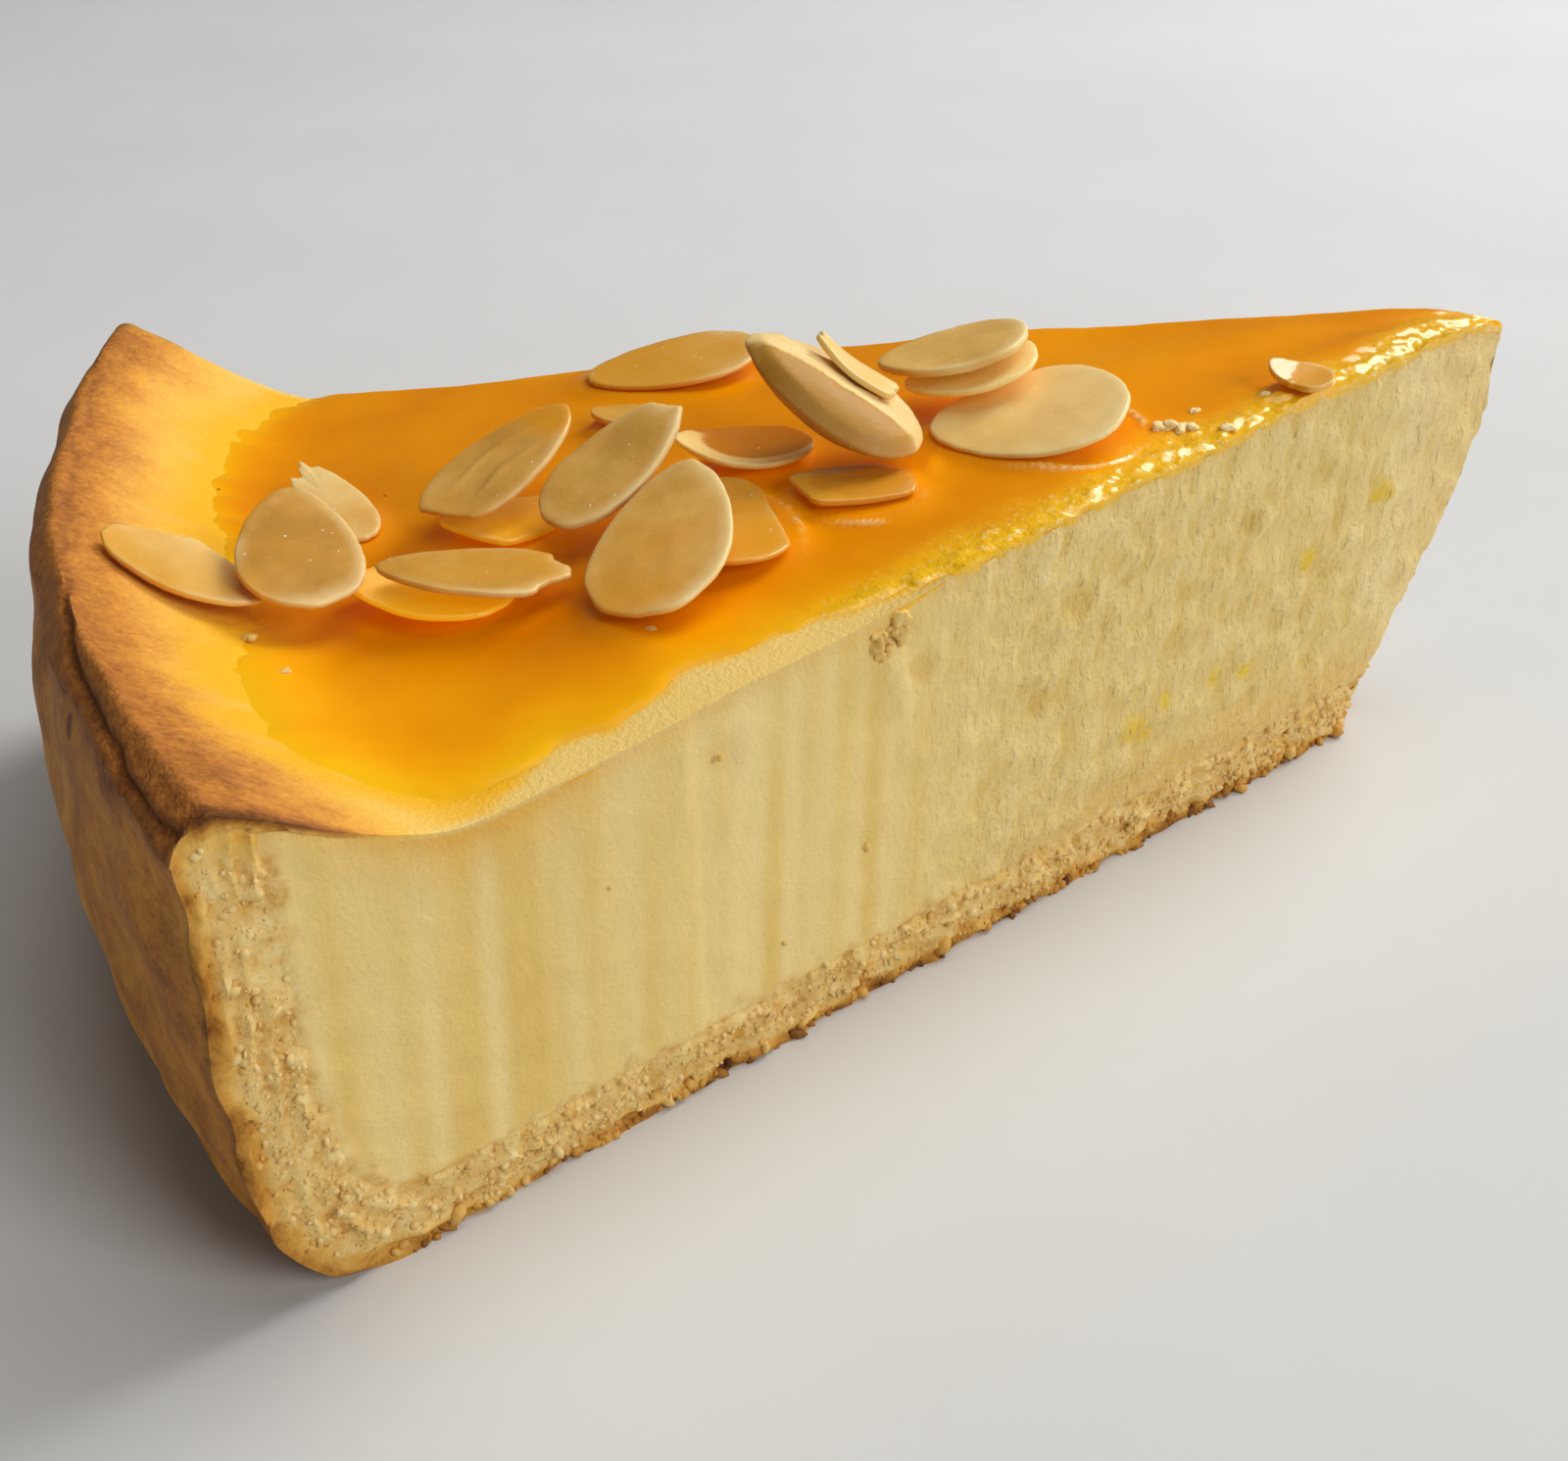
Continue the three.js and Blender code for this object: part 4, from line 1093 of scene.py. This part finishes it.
def flake_grid(spec, number):
    """Rings of points from the middle of the upper face, over the edge, to that of the lower face.
    share is the part of the way to the edge, and level is 1 on the upper face and -1 on the lower."""
    face = np.linspace(0.06, EDGE_AT, FACE_RINGS)
    bend = np.linspace(math.pi / 2, -math.pi / 2, EDGE_RINGS + 2)[1:-1]
    share = np.concatenate([face, EDGE_AT + (1 - EDGE_AT) * np.cos(bend), face[::-1]])
    level = np.concatenate([np.ones(FACE_RINGS), np.sin(bend), -np.ones(FACE_RINGS)])
    rings = len(share)
    angle = np.tile(np.arange(SECTORS) * 2 * math.pi / SECTORS, rings)
    share = np.concatenate([np.repeat(share, SECTORS), [0, 0]])
    level = np.concatenate([np.repeat(level, SECTORS), [1, -1]])
    angle = np.concatenate([angle, [0, 0]])
    around = np.stack([np.cos(angle) * 3, np.sin(angle) * 3, 0 * angle + number * 7], axis=1)
    reach = share * mix(1, egg_outline(spec, angle, around), smooth(share * 1.6))
    along_share = reach * np.cos(angle)
    aside_share = reach * np.sin(angle) * (1 - EGG_TAPER * np.cos(angle))
    x, y = along_share * spec["length"] / 2, aside_share * spec["width"] / 2
    place = np.stack([x, y, 0 * x + number * 20], axis=1)
    return SimpleNamespace(rings=rings, share=share, level=level, angle=angle, around=around, place=place,
                           along=along_share, aside=aside_share)


def egg_outline(spec, angle, around):
    """Reach of the outline in each direction: an egg, a little wavy, with cuts and chips."""
    outline = 0.965 + 0.026 * noise(around, 1.3, 201) + 0.013 * noise(around, 0.35, 202)
    for direction, distance in spec.get("cuts", []):
        facing = np.cos(angle - math.radians(direction))
        limit = distance * (1 + 0.015 * noise(around, 0.3, 204)) / np.maximum(facing, 0.05)
        outline = np.where(facing > 0.05, np.minimum(outline, limit), outline)
    for at, half_width, depth in spec.get("chips", []):
        away = np.abs((np.degrees(angle) - at + 180) % 360 - 180) / half_width
        outline = outline - depth * smooth(1.4 - away) * (0.75 + 0.5 * noise(around, 0.25, 203))
    return outline


def flake_height(spec, grid):
    """Height of each point over the flake's middle, in mm."""
    share, upper = grid.share, grid.level > 0
    half = HALF_THICKNESS - THINS_BY * share ** 2
    belly = spec.get("belly", 0) * (1 - share ** 2)
    shaved = spec.get("shaved", SHAVED)
    height = bend_of(spec, grid.along, grid.aside) - (shaved + belly) / 2
    height = height + (2 * half - shaved + belly) / 2 * grid.level
    wave = 0.10 * noise(grid.place, 4.5, 205) + 0.04 * noise(grid.place, 1.4, 207)
    lines = np.sin(grid.place[:, 1] * 1.1 + 1.2 * noise(grid.place, 5, 209)) ** 12
    wave = wave + spec.get("wrinkles", 0) * lines * smooth((0.75 - share) / 0.4)
    wave = wave - spec.get("bands", 0) * 0.2 * np.sin(share * 26) ** 2 * (share > 0.4)
    ridge = spec.get("ridge", 0) * ridge_of(grid.along, grid.aside, grid.place)
    return height + np.where(upper, wave, 0.6 * wave) + ridge * smooth((0.995 - share) / 0.12) * upper


def flake_faces(rings):
    """Quads between the rings, and a fan of triangles over the middle of each face."""
    upper, lower, last = rings * SECTORS, rings * SECTORS + 1, (rings - 1) * SECTORS
    sectors = [(a, (a + 1) % SECTORS) for a in range(SECTORS)]
    faces = [(ring + a, ring + SECTORS + a, ring + SECTORS + b, ring + b)
             for ring in range(0, last, SECTORS) for a, b in sectors]
    for a, b in sectors:
        faces += [(upper, a, b), (lower, last + b, last + a)]
    return faces


def flake_masks(spec, grid, points):
    """Colour masks: the pale rim, with a painted highlight on its side toward the lamps, soaked-in glaze,
    and the thick flake's layers.
    """
    share, upper = grid.share, grid.level > 0
    radius = np.hypot(points[:, 0], points[:, 1])
    arc = np.arctan2(points[:, 1], -points[:, 0]) / HALF_ANGLE
    clearance = points[:, 2] - top_height(radius, arc) - 0.3
    thick = spec.get("ridge", 0) > 0
    back = 0.65 * smooth((grid.aside - RIDGE_AT + 0.05) / 0.1) * thick
    # Painted highlight: the rim is painted paler on the side that faces the lamps, one fixed direction over
    # the whole slice.
    lit = 0.4 + 0.8 * noise(grid.around, 1.7, 216)
    lit = np.clip(lit + 0.55 * np.cos(grid.angle + math.radians(spec["heading"] + 40)), 0, 1)
    rim = np.clip(0.75 * smooth((share - 0.72) / 0.24) + 0.5 * smooth((share - 0.95) / 0.02), 0, 1) * lit
    amber = spec["amber"] * (0.7 + 0.7 * noise(grid.place, 5, 215))
    amber = amber + spec.get("soaks", 0.75) * smooth(1 - clearance / 3.8)
    amber = amber + spec.get("low_amber", 0) * smooth((3.9 - clearance) / 3.5)
    amber = amber + spec.get("tip_amber", 0) * smooth((grid.along - 0.35) / 0.4)
    amber = np.clip(amber - 0.15 * rim, 0, 1)
    pooled = smooth((0.84 - np.hypot(grid.along + 0.2, grid.aside + 0.25)) / 0.1)
    pooled = np.maximum(pooled, smooth((-grid.aside - 0.35) / 0.15))
    layers = 0.8 * (grid.aside < RIDGE_AT) * upper * thick
    return {"rim": np.maximum(rim, layers) * (1 - back), "amber": amber,
            "tone": np.clip(spec["tone"] + back, 0, 1),
            "wet": np.clip(0.12 + 0.8 * amber, 0, 1) * (not thick),
            "pool": spec.get("pool", 0) * pooled * upper, "glow": spec.get("glow", 0) + 0 * share}


def make_flake(spec, number):
    grid = flake_grid(spec, number)
    x, y, _ = grid.place.T
    points = np.stack([x, y, flake_height(spec, grid)], axis=1) @ turn_of(spec).T + middle_of(spec)
    return make_piece(spec["node"] + "_flake", points, flake_faces(grid.rings), ALMOND, "almond",
                      spec["node"], sharp_edges=False, **flake_masks(spec, grid, points))


flakes = [make_flake(spec, number) for number, spec in enumerate(FLAKES)]
print(len(flakes), "almond flakes of", len(flakes[0].data.vertices), "points each")

# %% [markdown]
# ## The glaze
#
# The glaze was poured on warm, so it lies thin at its edge, thick in the dip beside the rim, and creeps
# up the sides of each flake that it touches. Its upper face starts just under the cheese and comes out of
# it a little way in, so that the edge which shows is where two uneven surfaces cross, as with a real
# spill. Along the near cut it was dragged by the knife, which left it rough and full of glints: the rough
# coat catches some, and more are painted into its colour as pale specks, a painted highlight.

# %% The glaze's mesh
GLAZE_CELLS = (290, 150, 3)
GLAZE_RUNS_PAST = 2.2
GLAZE_PROUD = 0.25
# Where the glaze lies deep and the flakes shade it: place, reach in mm, and how much deeper its orange is,
# partly as painted shade below the flakes.
DEEP_GLAZE_AND_PAINTED_SHADE = [(92, -12, 24, 0.16), (103, -14, 13, 0.24)]
# How far from a flake the climb fades and the lip runs, in mm.
CREEP = 1.0
LIP_AT = 0.45


def creep_on_flakes(x, y, z):
    """How far the glaze climbs beside and under the flakes, in mm, how much they shade it, which sets a
    painted glowing light, and where a raised ridge of glaze catches the light and gets a painted glint."""
    rise, shaded, lip = np.zeros_like(x), np.zeros_like(x), np.zeros_like(x)
    for spec in FLAKES:
        local = (np.stack([x, y, z], axis=1) - middle_of(spec)) @ turn_of(spec)
        along_share = local[:, 0] / (spec["length"] / 2)
        narrowing = 1 - EGG_TAPER * np.clip(along_share, -1, 1)
        aside_share = local[:, 1] / (spec["width"] / 2) / narrowing
        share = np.hypot(along_share, aside_share)
        inner = np.minimum(share, 1)
        scale = inner / np.maximum(share, 1e-6)
        gap = underside(spec, inner, along_share * scale, aside_share * scale * narrowing) - local[:, 2]
        beside = np.maximum(0, share - 1) * spec["width"] / 2
        touching = smooth(1 - (gap - 0.6) / 0.9) * (gap > -3)
        climb = 0.55 * np.tanh(np.clip(gap, 0, 1.3) / 0.55) + 0.1 * smooth((share - 0.8) / 0.3)
        rise = np.maximum(rise, touching * climb * np.exp(-(beside / CREEP) ** 1.3) * (share < 3))
        under = smooth((1.5 - share) / 0.6) * smooth(1.2 - gap / 7)
        shaded = 1 - (1 - shaded) * (1 - 0.7 * under)
        toward_viewer = smooth((x - spec["x"] - 1.2 * (y - spec["y"])) / spec["width"] + 0.2)
        wander = beside - LIP_AT - 0.2 * noise(np.stack([x, y, z], axis=1), 2.5, 321)
        line = smooth(1.2 - np.abs(wander) / 0.22) * toward_viewer * spec.get("lip", 0)
        lip = np.maximum(lip, line * smooth(gap + 3))
    return rise, shaded, lip


def glaze_depth(r, s, flat, inward, rise, dragged):
    """How deep the orange is, from 0 where the glaze is thin to 1 where it lies thick, with painted shade
    added below some flakes.
    """
    thin = 1 - smooth(inward / mix(8.5, 4, smooth((s + 0.6) / 0.9)))
    pool = smooth((r - 96) / 10) * smooth((119 - r) / 6)
    deep = 0.56 - 0.46 * thin + 0.12 * layered(flat, 13, 317) - 0.1 * smooth(rise / 0.5)
    deep = deep - 0.2 * pool * smooth(1 - np.abs(s + 0.55) / 0.5) - 0.25 * dragged
    # A few spots of deeper orange: thick glaze, and painted shade below the flakes.
    for x, y, reach, darker in DEEP_GLAZE_AND_PAINTED_SHADE:
        deep = deep + darker * smooth(1 - np.hypot(flat[:, 0] - x, flat[:, 1] - y) / reach)
    return np.clip(deep, 0, 1)


def make_glaze():
    numbers, quads = lattice(*GLAZE_CELLS)
    u, v, w = (numbers / GLAZE_CELLS).T
    on_near, on_far = numbers[:, 1] == 0, numbers[:, 1] == GLAZE_CELLS[1]
    tip = float(tip_setback(TIP_TOP_HEIGHT))
    edge_s = mix(-1, 1, v)
    far_radius = mix(through(GLAZE_RIM_EDGE, edge_s) + GLAZE_RUNS_PAST, tip, u)
    strip = np.maximum(0, through(GLAZE_NEAR_STRIP, far_radius) - GLAZE_RUNS_PAST)
    s = mix(-1 + strip / (HALF_ANGLE * far_radius), 1, v)
    r = mix(through(GLAZE_RIM_EDGE, s) + GLAZE_RUNS_PAST, tip, u)
    inward = ragged_inside(r, s)
    shown = smooth((inward + 1.0) / mix(1.9, 4.5, smooth((r - 106) / 6)))
    surface = top_height(r, s)
    upper = surface + mix(-0.35, GLAZE_PROUD, shown)
    lower = surface - GLAZE_SINKS * smooth(inward / 2.5) - 0.3
    flat = arc_points(r, s, 0 * r)
    # Rough, dragged edge along the near cut, from where the bare strip ends to the tip.
    from_cut = (s + 1) * HALF_ANGLE * r
    dragged = smooth(1 - (from_cut - 0.5) / (6 + 2.5 * noise(flat, 5, 299))) * smooth((88 - r) / 12)
    rough = 0.17 * noise(flat, (1.2, 1.0, 1), 301) + 0.13 * noise(flat, 0.6, 303)
    droop = 0.2 * smooth(1 - from_cut / 1.6) * smooth((84 - r) / 10)
    at = wedge_point(r, s, upper)
    rise, shaded, lip = creep_on_flakes(at[:, 0], at[:, 1], upper)
    lip = lip * smooth(noise(flat, 3.5, 323) * 1.8 + 0.4)
    rise = rise * smooth(inward / 1.5) + 0.22 * lip
    waves = 0.07 * noise(flat, 7, 307) + 0.02 * noise(flat, 2.4, 311)
    upper = upper + rise + waves * shown + dragged * rough - droop
    z = mix(lower, upper, w)
    swell = np.where((on_near & (strip <= 0)) | on_far, 0.05 + 0.1 * noise(flat, 1.5, 313), 0)
    points = wedge_point(r, s, z, swell)
    wet = np.clip(0.15 + 0.75 * dragged + 0.4 * smooth((rise - 0.2) / 0.2) + lip, 0, 1)
    crinkled = np.maximum(np.maximum(dragged, 0.35 * lip), 0.2 * smooth(rise / 0.3))
    return make_piece("fruit_glaze", points, quads.tolist(), GLAZE, "glaze", "glaze",
                      deep=glaze_depth(r, s, flat, inward, rise, dragged), wet=wet, dragged=dragged,
                      shaded=shaded, lip=lip, crinkled=crinkled)


make_glaze()

# %% [markdown]
# ## Loose lumps
#
# The knife left a few bigger lumps: pale bits of cheese on the glaze near the tip, and pastry crumbs at
# the near edge and on the rim. They are few and each has its place in the photo, so a list says where they
# lie. Each one is a ball made from the same lattice, pushed out of round by noise.

# %% Loose lumps
# Place from the cake's axis, height over the top, half sizes in mm, and heading in degrees.
CHEESE_BITS = [(-42.3, -9.7, 0.3, 0.8, 0.6, 0.45, 25), (-41.5, -10.0, 0.35, 0.7, 0.6, 0.5, -20),
               (-40.8, -10.5, 0.3, 0.8, 0.5, 0.4, 50), (-40.0, -10.9, 0.25, 0.6, 0.5, 0.4, 10),
               (-41.2, -10.9, 0.25, 0.4, 0.35, 0.3, 80), (-38.2, -8.2, 0.2, 0.6, 0.4, 0.3, 40),
               (-37.4, -12.2, 0.25, 0.8, 0.5, 0.35, -30), (-31.5, -8.2, 0.2, 0.5, 0.4, 0.3, 0)]
PASTRY_BITS = [(-116.8, -11.4, 0.15, 0.5, 0.4, 0.3, 0), (-115.0, -16.4, 0.15, 0.45, 0.35, 0.3, 0),
               (-89.5, -21.3, 0.25, 0.5, 0.35, 0.3, 0), (-90.5, -20.8, 0.2, 0.3, 0.3, 0.25, 0)]
# Distance from the axis and height on the near cut, and size.
CUT_BITS = [(93.2, 28.4, 0.28), (79.7, 14.6, 0.38), (31.4, 1.2, 0.5), (88.0, 9.5, 0.22), (103, 22, 0.2)]
CLUSTER_PLACE = (77.6, 32.2)
CLUSTER_COUNT = 14
CLUSTER_RADIUS = 1.9


def lump(centre, sizes, heading, number):
    numbers, quads = lattice(6, 6, 6)
    ball = numbers / 3 - 1
    ball = ball / np.linalg.norm(ball, axis=1, keepdims=True)
    wobble = 1 + 0.45 * noise(ball + 7 * number, 0.9, 401) + 0.2 * noise(ball + 7 * number, 0.35, 402)
    turn = np.array(Matrix.Rotation(math.radians(heading), 3, "Z"))
    return (ball * wobble[:, None] * sizes) @ turn.T + centre, quads


def make_lumps(name, lumps, finish, slot, **masks):
    points = np.concatenate([place for place, _ in lumps])
    faces = np.concatenate([quads + number * len(lumps[0][0]) for number, (_, quads) in enumerate(lumps)])
    masks = {mask: np.full(len(points), value) for mask, value in masks.items()}
    return make_piece(name, points, faces.tolist(), finish, slot, **masks)


def on_top(bits, first):
    found = []
    for number, (x, y, lift, a, b, c, heading) in enumerate(bits):
        r, s = math.hypot(x, y), math.atan2(y, -x) / HALF_ANGLE
        centre = (x, y, float(top_height(r, s)) + lift)
        found.append(lump(centre, (a, b, c), heading, first + number))
    return found


def on_cut():
    places = list(CUT_BITS)
    for n in range(CLUSTER_COUNT):
        a, b, c = (float(hashed(np.array([[n, k, 0]]), 411)[0]) for k in (1, 2, 3))
        reach, turn = CLUSTER_RADIUS * math.sqrt(a), 2 * math.pi * b
        r, z = CLUSTER_PLACE[0] + reach * math.cos(turn), CLUSTER_PLACE[1] + 0.8 * reach * math.sin(turn)
        places.append((r, min(z, float(top_height(r, -1)) - 0.1), 0.3 + 0.4 * c))
    found = []
    for number, (r, z, size) in enumerate(places):
        centre = wedge_point(np.array([r]), np.array([-1.0]), np.array([z]), 0.05)[0]
        found.append(lump(centre, (size, 0.7 * size, 0.9 * size), 0, 40 + number))
    return found


make_lumps("torn_cheese", on_top(CHEESE_BITS, 0), CHEESE, "filling", cut=1, streak=1)
make_lumps("loose_pastry", on_top(PASTRY_BITS, 20) + on_cut(), PASTRY, "crust", cut=1, crumb=0.5, bake=0.12)

# %% [markdown]
# ## Floor, light and camera
#
# The photo was taken by a window: light from the right and a little behind, and a pale room all round.
# One large soft lamp stands in for the window and one for the ceiling. A third, to the right in front,
# gives what a pale wall would send back, and keeps the cut from going dark. The camera stands where it
# stood for the photo, found from the directions of the slice's edges.

# %% Camera
PHOTO_SIZE = (1600, 1491)
FOCAL_LENGTH_IN_PIXELS = 1918.1
SENSOR_WIDTH = 36
CAMERA_PLACE = np.array([-118.48, -136.66, 98.55])
CAMERA_YAW = math.radians(18.63)
CAMERA_PITCH = math.radians(31.85)
CAMERA_ROLL = math.radians(-1.36)


def make_camera():
    forward = Vector((math.sin(CAMERA_YAW) * math.cos(CAMERA_PITCH),
                      math.cos(CAMERA_YAW) * math.cos(CAMERA_PITCH), -math.sin(CAMERA_PITCH)))
    level = Vector((math.cos(CAMERA_YAW), -math.sin(CAMERA_YAW), 0))
    upward = level.cross(forward)
    right = level * math.cos(CAMERA_ROLL) + upward * math.sin(CAMERA_ROLL)
    upward = right.cross(forward)
    data = bpy.data.cameras.new("photo_camera")
    data.sensor_width = SENSOR_WIDTH
    data.lens = FOCAL_LENGTH_IN_PIXELS / PHOTO_SIZE[0] * SENSOR_WIDTH
    data.clip_start, data.clip_end = 0.01, 20
    camera = bpy.data.objects.new("photo_camera", data)
    turn = Matrix((right, upward, -forward)).transposed().to_4x4()
    camera.matrix_world = Matrix.Translation(Vector((CAMERA_PLACE + AXIS) * MM)) @ turn
    bpy.context.scene.collection.objects.link(camera)
    bpy.context.scene.camera = camera
    return data


print("lens:", round(make_camera().lens, 2), "mm")

# %% Floor and light
FLOOR_HALF_SIDE = 3.0
ROOM_COLOUR = (1.0, 0.93, 0.8, 1)
ROOM_BRIGHTNESS = 0.11
# What the lamps shine at, in metres.
SLICE_MIDDLE = Vector((0, 0, 0.02))
# Name, place and width in metres, watts and colour.
DAYLIGHT = (1.0, 0.98, 0.95)
LAMPS = [("window", (0.75, 0.30, 0.70), 0.6, 7.2, DAYLIGHT),
         ("ceiling", (0.25, 0.1, 1.2), 0.9, 4.0, (1.0, 1.0, 1.0)),
         ("front", (0.65, -1.0, 0.7), 0.7, 7.6, DAYLIGHT)]


def make_floor():
    corners = [(-1, -1), (1, -1), (1, 1), (-1, 1)]
    mesh = bpy.data.meshes.new("floor")
    mesh.from_pydata([(x * FLOOR_HALF_SIDE, y * FLOOR_HALF_SIDE, 0) for x, y in corners], [], [(0, 1, 2, 3)])
    f = Finish("pale_floor")
    colour = f.ramp(f.noise(60, 3), [(0.3, (0.68, 0.69, 0.70)), (0.7, (0.71, 0.72, 0.73))])
    mesh.materials.append(f.finish(colour, 0.9, f.noise(3), 0.02, Specular_IOR_Level=0.1))
    floor = bpy.data.objects.new("floor", mesh)
    bpy.context.scene.collection.objects.link(floor)


def make_lamp(name, place, size, watts, colour):
    data = bpy.data.lights.new(name, "AREA")
    data.shape, data.size, data.energy, data.color = "DISK", size, watts, colour
    lamp = bpy.data.objects.new(name, data)
    lamp.location = Vector(place)
    lamp.rotation_euler = (SLICE_MIDDLE - lamp.location).to_track_quat("-Z", "Y").to_euler()
    bpy.context.scene.collection.objects.link(lamp)


make_floor()
for lamp in LAMPS:
    make_lamp(*lamp)
world = bpy.data.worlds.new("room")
world.use_nodes = True
background = world.node_tree.nodes["Background"]
background.inputs["Color"].default_value = ROOM_COLOUR
background.inputs["Strength"].default_value = ROOM_BRIGHTNESS
bpy.context.scene.world = world
bpy.context.scene.view_settings.view_transform = "Standard"
